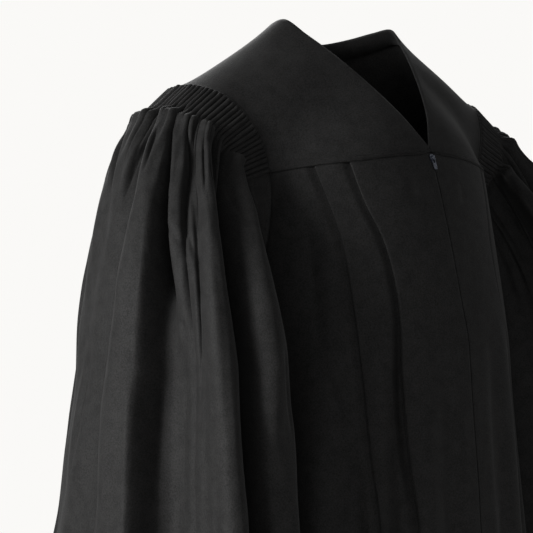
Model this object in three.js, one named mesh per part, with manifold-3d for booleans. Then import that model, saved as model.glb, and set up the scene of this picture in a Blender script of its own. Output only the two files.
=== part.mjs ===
// A graduation gown as it hangs when worn: yoke, two fronts closed by a zip, back, and two
// wide open sleeves gathered into small flutes at the armholes.
// Millimetres. +Z is up, the front faces -Y and the wearer's right side is at -X.
// The origin lies between the two shoulder points of the neckline.

import * as THREE from 'three';
import { mergeVertices } from 'three/addons/utils/BufferGeometryUtils.js';
import Module from 'manifold-3d';

// Cloth and seams
const WALL = 1.4;
const SEAM_GAP = 0.3;
const CENTRE_GAP = 0.8;
const SIDE_Y = 25;

// Rows of the fronts and the back: the first two follow the yoke seam, and the sixth is the underarm
const ROWS = [
  { drop: 17 }, { drop: 25 }, { z: -225 }, { z: -260 }, { z: -292 }, { z: -322 }, { z: -400 },
  { z: -500 }, { z: -640 }, { z: -800 }, { z: -950 }, { z: -1100 }, { z: -1225 }, { z: -1350 },
];
const SEAM_ROW = -1;
const UNDERARM_ROW = 5;

// Level sections of the body: half width, how far front and back reach, and depth of the hem waves
const BODY = [
  { z: -140, half: 162, front: -113, back: 117, wave: 0 },
  { z: -180, half: 161, front: -127, back: 124, wave: 0 },
  { z: -240, half: 160, front: -144, back: 130, wave: 0 },
  { z: -300, half: 160, front: -159, back: 134, wave: 0 },
  { z: -330, half: 160, front: -166, back: 135, wave: 1 },
  { z: -390, half: 160, front: -171, back: 137, wave: 2 },
  { z: -470, half: 161, front: -178, back: 142, wave: 4 },
  { z: -520, half: 163, front: -181, back: 150, wave: 6 },
  { z: -660, half: 174, front: -190, back: 172, wave: 11 },
  { z: -900, half: 240, front: -220, back: 225, wave: 21 },
  { z: -1350, half: 365, front: -300, back: 310, wave: 32 },
];
const FRONT_ROUNDNESS = 2.1;
const BACK_ROUNDNESS = 3;

// Yoke seam: its height against the turn from the centre line, in degrees
const FRONT_SEAM = [
  { turn: 0, z: -141.5 },
  { turn: 6, z: -145 },
  { turn: 17, z: -147 },
  { turn: 36, z: -153.5 },
  { turn: 50, z: -158 },
  { turn: 67, z: -165.5 },
];
const BACK_SEAM = [
  { turn: 0, z: -150 },
  { turn: 35, z: -153 },
  { turn: 69.5, z: -160 },
];

// Armhole edge of the fronts and the back: turn from the centre line at each height
const ARMHOLE_EDGE = [
  { z: -160, front: 67, back: 69.5 },
  { z: -200, front: 66.5, back: 69 },
  { z: -250, front: 69, back: 71 },
  { z: -295, front: 77.5, back: 79 },
  { z: -322, front: 90, back: 90 },
];

// Armhole along the yoke, from the front corner over the top to the back corner,
// with the direction in which the cloth faces
const ARMHOLE = [
  { x: -147.0, y: -37.0, z: -165.5, nx: -0.8, ny: -0.6, nz: 0 },
  { x: -156, y: -36, z: -137, nx: -0.78, ny: -0.6, nz: 0.18 },
  { x: -165, y: -30, z: -118, nx: -0.74, ny: -0.56, nz: 0.38 },
  { x: -176, y: -17, z: -98, nx: -0.66, ny: -0.46, nz: 0.6 },
  { x: -184, y: -5, z: -88, nx: -0.58, ny: -0.32, nz: 0.75 },
  { x: -193, y: 18, z: -80, nx: -0.48, ny: -0.12, nz: 0.87 },
  { x: -198, y: 42, z: -78.5, nx: -0.44, ny: 0.05, nz: 0.9 },
  { x: -195, y: 62, z: -84, nx: -0.5, ny: 0.25, nz: 0.83 },
  { x: -185, y: 76, z: -98, nx: -0.6, ny: 0.45, nz: 0.66 },
  { x: -171, y: 84, z: -120, nx: -0.66, ny: 0.62, nz: 0.42 },
  { x: -159, y: 85, z: -142, nx: -0.68, ny: 0.7, nz: 0.2 },
  { x: -152.5, y: 82, z: -160, nx: -0.7, ny: 0.71, nz: 0 },
];

// Neckline from the point of the V over the shoulder to the centre back
const NECKLINE = [
  { x: -0.8, y: -112, z: -137.5 },
  { x: -19, y: -92, z: -106 },
  { x: -38, y: -62, z: -72 },
  { x: -55, y: -30, z: -42 },
  { x: -68, y: -4, z: -21 },
  { x: -76, y: 18, z: -5 },
  { x: -73, y: 42, z: -7 },
  { x: -60, y: 64, z: -13 },
  { x: -36, y: 79, z: -19 },
  { x: 0, y: 85, z: -22 },
];
// How much of the neckline lies above the front seam, the armhole and the back seam
const NECKLINE_SHARES = { front: 0.34, armhole: 0.46 };
const YOKE_ROWS = 5;
// How far the yoke swells between neckline and lower edge, along the yoke from the V to the back
const YOKE_SWELL = [
  { share: 0, x: 0, y: 0, z: 0 },
  { share: 0.2, x: -4, y: -12, z: 8 },
  { share: 0.28, x: -14, y: -14, z: 4 },
  { share: 0.34, x: -30, y: -16, z: -2 },
  { share: 0.41, x: -20, y: -12, z: 10 },
  { share: 0.5, x: -3, y: -2, z: 5 },
  { share: 0.6, x: 0, y: 0, z: 2 },
  { share: 0.7, x: -3, y: 4, z: 5 },
  { share: 0.8, x: -22, y: 16, z: 4 },
  { share: 0.9, x: -8, y: 14, z: 6 },
  { share: 1, x: 0, y: 12, z: 6 },
];

// Pleats: the turn of each fold edge at each height, and how far the cloth runs back beneath it
const FRONT_PLEATS = [
  { z: -150, inner: 38, outer: 51, underlap: 17 },
  { z: -193, inner: 33, outer: 45.5, underlap: 17 },
  { z: -235, inner: 26.6, outer: 41, underlap: 17 },
  { z: -290, inner: 23.5, outer: 38, underlap: 17 },
  { z: -370, inner: 23.4, outer: 35, underlap: 16 },
  { z: -440, inner: 21.8, outer: 33, underlap: 15 },
  { z: -516, inner: 19.5, outer: 30.7, underlap: 13 },
  { z: -900, inner: 19, outer: 30.5, underlap: 7 },
  { z: -1350, inner: 19, outer: 31, underlap: 3 },
];
const BACK_PLEATS = [
  { z: -150, inner: 14, middle: 30, outer: 47, underlap: 17 },
  { z: -322, inner: 13, middle: 28, outer: 45, underlap: 16 },
  { z: -516, inner: 13, middle: 28, outer: 46, underlap: 13 },
  { z: -1350, inner: 14, middle: 32, outer: 51, underlap: 3 },
];
const LAYER_PITCH = 2.6;
const PLEAT_RETURN = 11;
const SIDE_COLUMNS = { front: 7, back: 6 };
const CENTRE_COLUMNS = { front: 4, back: 2 };
const BETWEEN_COLUMNS = 3;

// Waves that open towards the hem: height of each ridge and hollow against its turn
const FRONT_WAVES = [
  { turn: 0, height: 0.4 },
  { turn: 3, height: 0.4 },
  { turn: 6, height: 0.4 },
  { turn: 11, height: -0.5 },
  { turn: 17.5, height: 1 },
  { turn: 23.5, height: -1 },
  { turn: 29.5, height: 0.9 },
  { turn: 37, height: -1 },
  { turn: 49, height: 1 },
  { turn: 61, height: -1 },
  { turn: 76, height: 1 },
  { turn: 90, height: -0.7 },
];
const BACK_WAVES = [
  { turn: 0, height: 0.6 },
  { turn: 8, height: -0.6 },
  { turn: 13, height: 0.9 },
  { turn: 20, height: -1 },
  { turn: 30, height: 1 },
  { turn: 38, height: -1 },
  { turn: 49, height: 1 },
  { turn: 61, height: -1 },
  { turn: 75, height: 1 },
  { turn: 90, height: -0.7 },
];

// Sleeve: flutes along the yoke, then full rings from below the underarm to the cuff.
// The turn is 0 at the outside of the arm, 90 at the front and 150 at the front corner of the yoke.
const CORNER_TURN = 150;
const LOOP_END = CORNER_TURN - 360;
const FLUTES = 36;
const FLUTES_PER_CHORD = 2;
const FLUTE_RIDGE = 1.5;
const FLUTE_GROOVE = -2;
const FLUTE_EDGES = [0.28, 0.72, 1];
const FLUTE_WALL = 1.4;
const FLUTE_FULL = 0.35;
const GATHER_LEAD = 4;
const RING_TOP_Z = -360;
const CUFF_Z = -660;
const SLEEVE_RINGS = [
  { z: -360, x: -250, y: -23, across: 78, along: 132 },
  { z: -440, x: -255, y: -24, across: 83, along: 140 },
  { z: -520, x: -259, y: -26, across: 88, along: 149 },
  { z: -660, x: -290, y: -35, across: 98, along: 160 },
];
// Where the gathered band ends: its length and direction at each turn. Beyond it the cloth swings
// on that way, and hangs straight down for a share of its drop to the first full ring.
const GATHERS = [
  { turn: 180, length: 13, x: -1, y: 0, z: -0.15, swing: 9, hang: 0.3 },
  { turn: 165, length: 15, x: -1, y: 0, z: -0.2, swing: 11, hang: 0.3 },
  { turn: 150, length: 27, x: -0.94, y: 0.1, z: -0.3, swing: 18, hang: 0.3 },
  { turn: 120, length: 32, x: -0.92, y: -0.02, z: -0.38, swing: 26, hang: 0.3 },
  { turn: 90, length: 35, x: -0.87, y: -0.08, z: -0.48, swing: 32, hang: 0.35 },
  { turn: 45, length: 33, x: -0.82, y: -0.02, z: -0.57, swing: 36, hang: 0.45 },
  { turn: 0, length: 31, x: -0.74, y: 0.12, z: -0.66, swing: 42, hang: 0.6 },
  { turn: -50, length: 32, x: -0.7, y: 0.25, z: -0.69, swing: 42, hang: 0.6 },
  { turn: -90, length: 33, x: -0.78, y: 0.28, z: -0.58, swing: 36, hang: 0.5 },
  { turn: -150, length: 27, x: -0.95, y: 0.05, z: -0.3, swing: 20, hang: 0.35 },
  { turn: -165, length: 15, x: -1, y: 0, z: -0.2, swing: 11, hang: 0.3 },
  { turn: -180, length: 13, x: -1, y: 0, z: -0.15, swing: 9, hang: 0.3 },
  { turn: -195, length: 15, x: -1, y: 0, z: -0.2, swing: 11, hang: 0.3 },
  { turn: -210, length: 27, x: -0.94, y: 0.1, z: -0.3, swing: 18, hang: 0.3 },
];
// Long folds of the sleeve: height of each ridge and hollow near the gathers, midway and at the cuff
const FOLDS = [
  { turn: 150, top: -4, middle: -7, cuff: -9 },
  { turn: 101, top: 7, middle: 7, cuff: 9 },
  { turn: 68, top: -9, middle: -11, cuff: -12 },
  { turn: 57, top: 5, middle: 6, cuff: 7 },
  { turn: 48, top: -2, middle: -2, cuff: -3 },
  { turn: 34, top: 5, middle: 3, cuff: 3 },
  { turn: 21, top: -10, middle: -11, cuff: -12 },
  { turn: 5, top: 8, middle: 9, cuff: 10 },
  { turn: -14, top: -5, middle: -4, cuff: -4 },
  { turn: -34, top: 4, middle: 6, cuff: 7 },
  { turn: -58, top: -6, middle: -8, cuff: -9 },
  { turn: -84, top: 7, middle: 9, cuff: 10 },
  { turn: -108, top: -8, middle: -10, cuff: -11 },
  { turn: -130, top: 6, middle: 8, cuff: 9 },
  { turn: -153, top: -4, middle: -6, cuff: -7 },
  { turn: -180, top: 0, middle: 1, cuff: 1 },
  { turn: -210, top: -4, middle: -7, cuff: -9 },
];
const SLEEVE_COLUMNS = 72;
const LOWER_TRAVELS = [1.3, 1.6, 2, 2.25, 2.5, 2.75, 3];
const FOLD_START = 1;
const FOLD_FULL = 1.35;

// Zip: tapes and coil behind the front edges, and the slider in a notch below the V
const ZIP = { width: 24, tape: 1, coilWidth: 5, coilEdge: 0.4, coil: 2.2, gap: 0.5, lastRow: 11 };
const NOTCH = { half: 4.6, fullZ: -158, endZ: -166 };
const SLIDER = { width: 7, length: 9.5, thick: 1.6, z: -150 };
const BAIL = { width: 1.6, length: 6.4, bar: 0.9, rise: 2.1 };
const PULL = { width: 4.6, slotWidth: 2.4, slot: 4, length: 12, thick: 0.8, bar: 0.9, play: 0.35 };

const BLACK_CLOTH = { color: 0x0e0e0f, roughness: 0.92, metalness: 0 };
const BLACK_TAPE = { color: 0x0a0a0b, roughness: 0.8, metalness: 0 };
const NICKEL = { color: 0xb9bec6, roughness: 0.28, metalness: 1 };

const radians = THREE.MathUtils.degToRad;
const mix = THREE.MathUtils.lerp;
const smooth = (value, from, to) => THREE.MathUtils.smoothstep(value, from, to);

// Reads one column of a table between its rows, along a smooth curve
function read(table, key, place, column) {
  const last = table.length - 1;
  const rising = table[last][key] > table[0][key];
  const inside = rising
    ? THREE.MathUtils.clamp(place, table[0][key], table[last][key])
    : THREE.MathUtils.clamp(place, table[last][key], table[0][key]);
  let i = 0;
  while (i < last - 1 && (rising ? inside > table[i + 1][key] : inside < table[i + 1][key])) i += 1;
  const slope = (j) => {
    const a = table[Math.max(j - 1, 0)];
    const b = table[Math.min(j + 1, last)];
    return (b[column] - a[column]) / (b[key] - a[key]);
  };
  const span = table[i + 1][key] - table[i][key];
  const t = (inside - table[i][key]) / span;
  const [t2, t3] = [t * t, t * t * t];
  return (2 * t3 - 3 * t2 + 1) * table[i][column] + (t3 - 2 * t2 + t) * span * slope(i)
    + (3 * t2 - 2 * t3) * table[i + 1][column] + (t3 - t2) * span * slope(i + 1);
}

// A place on the level section of the body, for a turn from the centre line of the front or back
function sectionPoint(face, z, turn) {
  const front = face === 'front';
  const power = front ? FRONT_ROUNDNESS : BACK_ROUNDNESS;
  const half = read(BODY, 'z', z, 'half');
  const reach = Math.abs(read(BODY, 'z', z, face) - SIDE_Y);
  const [sine, cosine] = [Math.sin(radians(turn)), Math.cos(radians(turn))];
  const radius = (Math.abs(sine / half) ** power + Math.abs(cosine / reach) ** power) ** (-1 / power);
  const waves = front ? FRONT_WAVES : BACK_WAVES;
  const wave = read(BODY, 'z', z, 'wave') * read(waves, 'turn', turn, 'height');
  const full = radius + wave;
  return new THREE.Vector3(-full * sine, SIDE_Y + (front ? -full : full) * cosine, z);
}

// The level direction in which the cloth faces there
function sectionNormal(face, z, turn) {
  const before = sectionPoint(face, z, turn - 0.5);
  const after = sectionPoint(face, z, turn + 0.5);
  const run = after.sub(before).normalize();
  return face === 'front'
    ? new THREE.Vector3(-run.y, run.x, 0)
    : new THREE.Vector3(run.y, -run.x, 0);
}

function degreesFor(face, z, turn, length) {
  const centre = new THREE.Vector3(0, SIDE_Y, z);
  const radius = sectionPoint(face, z, turn).distanceTo(centre);
  return THREE.MathUtils.radToDeg(length / radius);
}

// Wall directions along a level line of points, lengthened at corners so that the wall stays full
function levelWalls(points, face) {
  const side = face === 'front' ? 1 : -1;
  const normals = [];
  for (let i = 0; i < points.length - 1; i += 1) {
    const run = points[i + 1].clone().sub(points[i]).setZ(0).normalize();
    normals.push(new THREE.Vector3(-run.y * side, run.x * side, 0));
  }
  return points.map((point, i) => {
    const before = normals[Math.max(i - 1, 0)];
    const after = normals[Math.min(i, normals.length - 1)];
    const wall = before.clone().add(after).normalize();
    return wall.multiplyScalar(1 / Math.max(wall.dot(before), 0.7));
  });
}

// Height of a row of the fronts or the back at a turn
function rowHeight(face, row, turn) {
  const seam = read(face === 'front' ? FRONT_SEAM : BACK_SEAM, 'turn', turn, 'z');
  if (row === SEAM_ROW) return seam - SEAM_GAP / 2;
  return ROWS[row].drop ? seam - ROWS[row].drop : ROWS[row].z;
}

// The loop of the right armhole, from the front yoke corner over the top and back under the arm
function makeArmhole() {
  const places = ARMHOLE.map((row) => new THREE.Vector3(row.x, row.y, row.z));
  const facings = ARMHOLE.map((row) => new THREE.Vector3(row.nx, row.ny, row.nz));
  const corners = [['front', 0], ['back', ARMHOLE.length - 1]];
  for (const [face, i] of corners) {
    const turn = read(ARMHOLE_EDGE, 'z', ARMHOLE[i].z, face);
    places[i] = sectionPoint(face, ARMHOLE[i].z, turn);
    facings[i] = sectionNormal(face, ARMHOLE[i].z, turn);
  }
  const path = new THREE.CatmullRomCurve3(places, false, 'centripetal');
  const facing = new THREE.CatmullRomCurve3(facings, false, 'centripetal');
  const loop = [];
  const chords = FLUTES / FLUTES_PER_CHORD;
  for (let k = 0; k <= chords; k += 1) {
    const share = k / chords;
    const turn = mix(CORNER_TURN, -CORNER_TURN, share);
    const along = path.getUtoTmapping(share);
    loop.push({ turn, place: path.getPoint(along), facing: facing.getPoint(along).normalize() });
  }
  const steps = UNDERARM_ROW + 1;
  const stepTurn = (180 - CORNER_TURN) / steps;
  for (let k = 1; k < 2 * steps; k += 1) {
    const face = k < steps ? 'back' : 'front';
    const row = k <= steps ? k - 1 : 2 * steps - k - 1;
    const z = rowHeight(face, row, 90);
    const turn = read(ARMHOLE_EDGE, 'z', z, face);
    loop.push({
      turn: -CORNER_TURN - k * stepTurn,
      place: sectionPoint(face, z, turn),
      facing: sectionNormal(face, z, turn),
    });
  }
  loop.forEach((knot, i) => {
    const before = loop[(i + loop.length - 1) % loop.length].place;
    const after = loop[(i + 1) % loop.length].place;
    const along = before.clone().sub(after).normalize();
    knot.leaving = along.cross(knot.facing).normalize();
  });
  loop.push({ ...loop[0], turn: LOOP_END });
  return loop;
}

const armhole = makeArmhole();
const armholeChords = FLUTES / FLUTES_PER_CHORD;

function armholeAt(turn) {
  let i = 0;
  while (i < armhole.length - 2 && turn < armhole[i + 1].turn) i += 1;
  const [a, b] = [armhole[i], armhole[i + 1]];
  const t = (turn - a.turn) / (b.turn - a.turn);
  return {
    place: a.place.clone().lerp(b.place, t),
    facing: a.facing.clone().lerp(b.facing, t).normalize(),
    leaving: a.leaving.clone().lerp(b.leaving, t).normalize(),
  };
}

// A closed wall through rows of spots; each spot has a place, half the wall as a vector, and a mark
// along its row. Rows may differ in how many spots they have, and closed rows join end to end.
function makeShell(rows, closedRows) {
  const vertices = [];
  const faces = [];
  const layers = { outer: [], inner: [] };
  for (const row of rows) {
    for (const [layer, sign] of [['outer', 1], ['inner', -1]]) {
      layers[layer].push(row.map((spot) => {
        vertices.push(spot.place.clone().addScaledVector(spot.wall, sign));
        return { index: vertices.length - 1, mark: spot.mark };
      }));
    }
  }
  const span = closedRows ? Math.abs(LOOP_END - CORNER_TURN) : 0;
  const wrap = (row) => (closedRows ? [...row, { index: row[0].index, mark: row[0].mark + span }] : row);
  const bridge = (first, second, flipped) => {
    const [a, b] = [wrap(first), wrap(second)];
    let [i, j] = [0, 0];
    while (i < a.length - 1 || j < b.length - 1) {
      const stepA = j === b.length - 1
        || (i < a.length - 1 && a[i + 1].mark <= b[j + 1].mark);
      const face = stepA
        ? [a[i].index, a[i + 1].index, b[j].index]
        : [a[i].index, b[j + 1].index, b[j].index];
      faces.push(flipped ? face.reverse() : face);
      if (stepA) i += 1;
      else j += 1;
    }
  };
  for (let r = 0; r < rows.length - 1; r += 1) {
    bridge(layers.outer[r], layers.outer[r + 1], false);
    bridge(layers.inner[r], layers.inner[r + 1], true);
  }
  bridge(layers.inner[0], layers.outer[0], false);
  bridge(layers.outer[rows.length - 1], layers.inner[rows.length - 1], false);
  if (!closedRows) {
    const side = (pick, flipped) => {
      const outer = layers.outer.map((row, r) => ({ index: pick(row).index, mark: r }));
      const inner = layers.inner.map((row, r) => ({ index: pick(row).index, mark: r }));
      bridge(outer, inner, flipped);
    };
    side((row) => row[0], false);
    side((row) => row[row.length - 1], true);
  }
  return facedOut(vertices, faces);
}

// A geometry whose faces all point out of the closed body
function facedOut(vertices, faces) {
  const volume = faces.reduce((sum, [a, b, c]) => (
    sum + vertices[a].dot(vertices[b].clone().cross(vertices[c]))), 0);
  const index = volume > 0 ? faces.flat() : faces.map((face) => [...face].reverse()).flat();
  const geometry = new THREE.BufferGeometry();
  geometry.setAttribute('position', new THREE.Float32BufferAttribute(
    vertices.flatMap((vertex) => vertex.toArray()), 3));
  geometry.setIndex(index);
  return geometry;
}

function mirrored(geometry) {
  const copy = geometry.clone().scale(-1, 1, 1);
  const index = Array.from(copy.index.array);
  for (let i = 0; i < index.length; i += 3) {
    [index[i], index[i + 1]] = [index[i + 1], index[i]];
  }
  copy.setIndex(index);
  return copy;
}

function mirroredSpot(spot) {
  const flip = (vector) => new THREE.Vector3(-vector.x, vector.y, vector.z);
  return { place: flip(spot.place), wall: flip(spot.wall), mark: spot.mark };
}

// Half width of the opening between the two front edges at a height
function centreHalf(z) {
  const open = smooth(z, NOTCH.endZ, NOTCH.fullZ);
  return mix(CENTRE_GAP, NOTCH.half, open);
}

// Turns and depths across one half of a panel, from the centre line to the armhole or side seam
function panelStations(face, z, edgeTurn) {
  const table = face === 'front' ? FRONT_PLEATS : BACK_PLEATS;
  const names = face === 'front' ? ['inner', 'outer'] : ['inner', 'middle', 'outer'];
  const underlap = read(table, 'z', z, 'underlap');
  const stations = [];
  const run = (from, to, count) => {
    for (let k = 1; k <= count; k += 1) {
      stations.push({ turn: mix(from, to, k / count), depth: 0 });
    }
  };
  if (face === 'front') {
    stations.push({ turn: degreesFor(face, z, 0, centreHalf(z)), depth: 0 });
    stations.push({ turn: degreesFor(face, z, 0, ZIP.width / 2), depth: 0 });
  } else {
    stations.push({ turn: 0, depth: 0 });
  }
  for (const name of names) {
    const edge = read(table, 'z', z, name);
    const tuck = degreesFor(face, z, edge, underlap);
    const back = degreesFor(face, z, edge, PLEAT_RETURN);
    const columns = name === 'inner' ? CENTRE_COLUMNS[face] : BETWEEN_COLUMNS;
    run(stations[stations.length - 1].turn, edge, columns);
    stations.push({ turn: edge, depth: LAYER_PITCH });
    stations.push({ turn: edge - tuck, depth: LAYER_PITCH });
    stations.push({ turn: edge - tuck, depth: 2 * LAYER_PITCH });
    stations.push({ turn: edge + 0.1 * back, depth: 2 * LAYER_PITCH });
    stations.push({ turn: edge + back, depth: 0 });
  }
  run(stations[stations.length - 1].turn, edgeTurn, SIDE_COLUMNS[face]);
  return stations;
}

// One row of a panel half: spots along the section, folded where the pleats are
function panelRow(face, row) {
  const isSeam = row === SEAM_ROW;
  const belowArm = row > UNDERARM_ROW;
  const edgeZ = rowHeight(face, row, 90);
  const edgeTurn = belowArm ? 90 : read(ARMHOLE_EDGE, 'z', edgeZ, face);
  const centreZ = rowHeight(face, row, 0);
  const places = panelStations(face, centreZ, edgeTurn).map(({ turn, depth }) => {
    const z = rowHeight(face, row, turn);
    return sectionPoint(face, z, turn).addScaledVector(sectionNormal(face, z, turn), -depth);
  });
  const walls = levelWalls(places, face);
  const last = places.length - 1;
  const towards = face === 'front' ? -1 : 1;
  if (belowArm) {
    places[last].y += towards * SEAM_GAP / 2;
    walls[last].set(-1, 0, 0);
  } else {
    const knot = isSeam ? armholeCorner(face) : armholeRow(face, row);
    places[last].copy(knot.place).addScaledVector(knot.leaving, -SEAM_GAP / 2);
    walls[last].copy(knot.facing);
    if (isSeam) places[last].z -= SEAM_GAP / 2;
    if (row === UNDERARM_ROW) places[last].y += towards * SEAM_GAP / 2;
  }
  return places.map((place, i) => ({ place, wall: walls[i].multiplyScalar(WALL / 2), mark: i }));
}

function armholeCorner(face) {
  return armhole[face === 'front' ? 0 : armholeChords];
}

function armholeRow(face, row) {
  const steps = UNDERARM_ROW + 1;
  const offset = face === 'back' ? row + 1 : 2 * steps - row - 1;
  return armhole[armholeChords + offset];
}

function makeFront() {
  const rows = [SEAM_ROW, ...ROWS.keys()].map((row) => panelRow('front', row));
  return makeShell(rows, false);
}

function makeBack() {
  const rows = [SEAM_ROW, ...ROWS.keys()].map((row) => {
    const right = panelRow('back', row);
    const left = right.slice(1).map(mirroredSpot);
    return [...right.reverse(), ...left].map((spot, i) => ({ ...spot, mark: i }));
  });
  return makeShell(rows, false);
}

// The lower edge of the yoke on the right half, from the V over the armhole to the centre back.
// Its columns meet those of the panels and of the sleeve.
function yokeEdge() {
  const seamSpots = (face) => {
    const corner = armholeCorner(face).place.z;
    const edgeTurn = read(ARMHOLE_EDGE, 'z', corner, face);
    const stations = panelStations(face, rowHeight(face, SEAM_ROW, 0), edgeTurn);
    return stations.filter(({ depth }) => depth === 0).slice(0, -1).map(({ turn }) => {
      const z = rowHeight(face, SEAM_ROW, turn) + SEAM_GAP;
      const place = sectionPoint(face, z, turn);
      return { place, facing: sectionNormal(face, z, turn), share: turn / edgeTurn };
    });
  };
  const { front, armhole: above } = NECKLINE_SHARES;
  const fronts = seamSpots('front').map((spot) => ({ ...spot, share: spot.share * front }));
  const backs = seamSpots('back').map((spot) => (
    { ...spot, share: mix(1, front + above, spot.share) })).reverse();
  const sides = armhole.slice(0, armholeChords + 1).map(({ place, facing, leaving }, k) => {
    const spot = place.clone().addScaledVector(leaving, -SEAM_GAP / 2);
    if (k === 0 || k === armholeChords) spot.z += SEAM_GAP / 2;
    return { place: spot, facing, share: front + above * k / armholeChords };
  });
  return [...fronts, ...sides, ...backs];
}

// Rows of the yoke run from the neckline to the lower edge, columns from the V to the centre back
function makeYoke() {
  const neckline = new THREE.CatmullRomCurve3(
    NECKLINE.map(({ x, y, z }) => new THREE.Vector3(x, y, z)), false, 'centripetal');
  const edge = yokeEdge();
  const columns = edge.map(({ place, share }) => {
    const top = neckline.getPointAt(share);
    const swell = new THREE.Vector3(...['x', 'y', 'z'].map((axis) => (
      read(YOKE_SWELL, 'share', share, axis))));
    const middle = top.clone().lerp(place, 0.5).add(swell);
    return new THREE.QuadraticBezierCurve3(top, middle, place);
  });
  const rows = [];
  for (let r = 0; r <= YOKE_ROWS; r += 1) {
    const t = r / YOKE_ROWS;
    const places = columns.map((column) => column.getPoint(t));
    const half = places.map((place, i) => {
      const before = places[Math.max(i - 1, 0)];
      const after = places[Math.min(i + 1, places.length - 1)];
      const along = after.clone().sub(before).normalize();
      const down = columns[i].getTangent(t);
      const facing = down.cross(along).normalize();
      if (i === places.length - 1) facing.setX(0).normalize();
      const wall = r === YOKE_ROWS ? edge[i].facing.clone() : facing;
      return { place, wall: wall.multiplyScalar(WALL / 2), mark: i };
    });
    const left = half.slice(0, -1).map(mirroredSpot).reverse();
    rows.push([...half, ...left].map((spot, i) => ({ ...spot, mark: i })));
  }
  return makeShell(rows, false);
}

// The level oval of the sleeve at a height
function ringPoint(z, turn) {
  const [x, y] = [read(SLEEVE_RINGS, 'z', z, 'x'), read(SLEEVE_RINGS, 'z', z, 'y')];
  const across = read(SLEEVE_RINGS, 'z', z, 'across');
  const along = read(SLEEVE_RINGS, 'z', z, 'along');
  return new THREE.Vector3(
    x - across * Math.cos(radians(turn)), y - along * Math.sin(radians(turn)), z);
}

// The sleeve without its folds. Travel runs from 0 at the armhole to 1 where the gathers end,
// 2 at the first full ring and 3 at the cuff.
function sleeveBase(turn, travel) {
  if (travel >= 2) return ringPoint(mix(RING_TOP_Z, CUFF_Z, travel - 2), turn);
  const knot = armholeAt(turn);
  const start = knot.place.clone().addScaledVector(knot.leaving, SEAM_GAP / 2);
  const along = new THREE.Vector3(...['x', 'y', 'z'].map((axis) => read(GATHERS, 'turn', turn, axis)));
  along.normalize();
  const lead = start.clone().addScaledVector(knot.leaving, GATHER_LEAD);
  const end = lead.clone().addScaledVector(along, read(GATHERS, 'turn', turn, 'length'));
  if (travel <= 1) return new THREE.QuadraticBezierCurve3(start, lead, end).getPoint(travel);
  const ring = ringPoint(RING_TOP_Z, turn);
  const outward = end.clone().addScaledVector(along, read(GATHERS, 'turn', turn, 'swing'));
  const above = ring.clone();
  above.z += (end.z - ring.z) * read(GATHERS, 'turn', turn, 'hang');
  return new THREE.CubicBezierCurve3(end, outward, above, ring).getPoint(travel - 1);
}

function facingOf(surface, turn, travel) {
  const step = { turn: 1, travel: 0.02 };
  const low = Math.max(travel - step.travel, 0);
  const high = Math.min(travel + step.travel, 3);
  const around = surface(turn + step.turn, travel).sub(surface(turn - step.turn, travel));
  const down = surface(turn, high).sub(surface(turn, low));
  return down.cross(around).normalize();
}

function foldHeight(turn, travel) {
  if (travel <= FOLD_START) return 0;
  const [top, middle, cuff] = ['top', 'middle', 'cuff'].map((name) => read(FOLDS, 'turn', turn, name));
  const height = travel < 2
    ? mix(top, middle, smooth(travel, FOLD_FULL, 2))
    : mix(middle, cuff, travel - 2);
  return height * smooth(travel, FOLD_START, FOLD_FULL);
}

function sleeveSurface(turn, travel) {
  const around = turn > CORNER_TURN ? turn - 360 : turn;
  const wrapped = around < LOOP_END ? around + 360 : around;
  const place = sleeveBase(wrapped, travel);
  if (travel <= FOLD_START) return place;
  return place.addScaledVector(facingOf(wrappedBase, wrapped, travel), foldHeight(wrapped, travel));
}

function wrappedBase(turn, travel) {
  const around = turn > CORNER_TURN ? turn - 360 : turn;
  return sleeveBase(around < LOOP_END ? around + 360 : around, travel);
}

// Height of the flutes against the turn: broad ribs with narrow grooves, none under the arm
function gatherTurns() {
  const turns = [];
  const pitch = 2 * CORNER_TURN / FLUTES;
  for (let flute = 0; flute < FLUTES; flute += 1) {
    for (const share of [0, ...FLUTE_EDGES.slice(0, -1)]) {
      const height = share === 0 ? FLUTE_GROOVE : FLUTE_RIDGE;
      turns.push({ turn: CORNER_TURN - (flute + share) * pitch, height });
    }
  }
  for (let k = armholeChords; k < armhole.length - 1; k += 1) {
    turns.push({ turn: armhole[k].turn, height: k === armholeChords ? FLUTE_GROOVE : 0 });
  }
  return turns;
}

function makeSleeve() {
  const gathered = (travel) => gatherTurns().map(({ turn, height }) => {
    const share = smooth(travel, 0, FLUTE_FULL);
    const facing = travel === 0 ? armholeAt(turn).facing : facingOf(wrappedBase, turn, travel);
    const place = wrappedBase(turn, travel).addScaledVector(facing, height * share);
    const thick = height === 0 ? 1 : mix(1, FLUTE_WALL, share);
    return { place, wall: facing.multiplyScalar(thick * WALL / 2), mark: CORNER_TURN - turn };
  });
  const full = (travel) => {
    const spots = [];
    for (let k = 0; k < SLEEVE_COLUMNS; k += 1) {
      const mark = 360 * k / SLEEVE_COLUMNS;
      const turn = CORNER_TURN - mark;
      const wall = facingOf(sleeveSurface, turn, travel).multiplyScalar(WALL / 2);
      spots.push({ place: sleeveSurface(turn, travel), wall, mark });
    }
    return spots;
  };
  const rings = [0, FLUTE_FULL, 1].map(gathered);
  return makeShell([...rings, ...LOWER_TRAVELS.map(full)], true);
}

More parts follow.
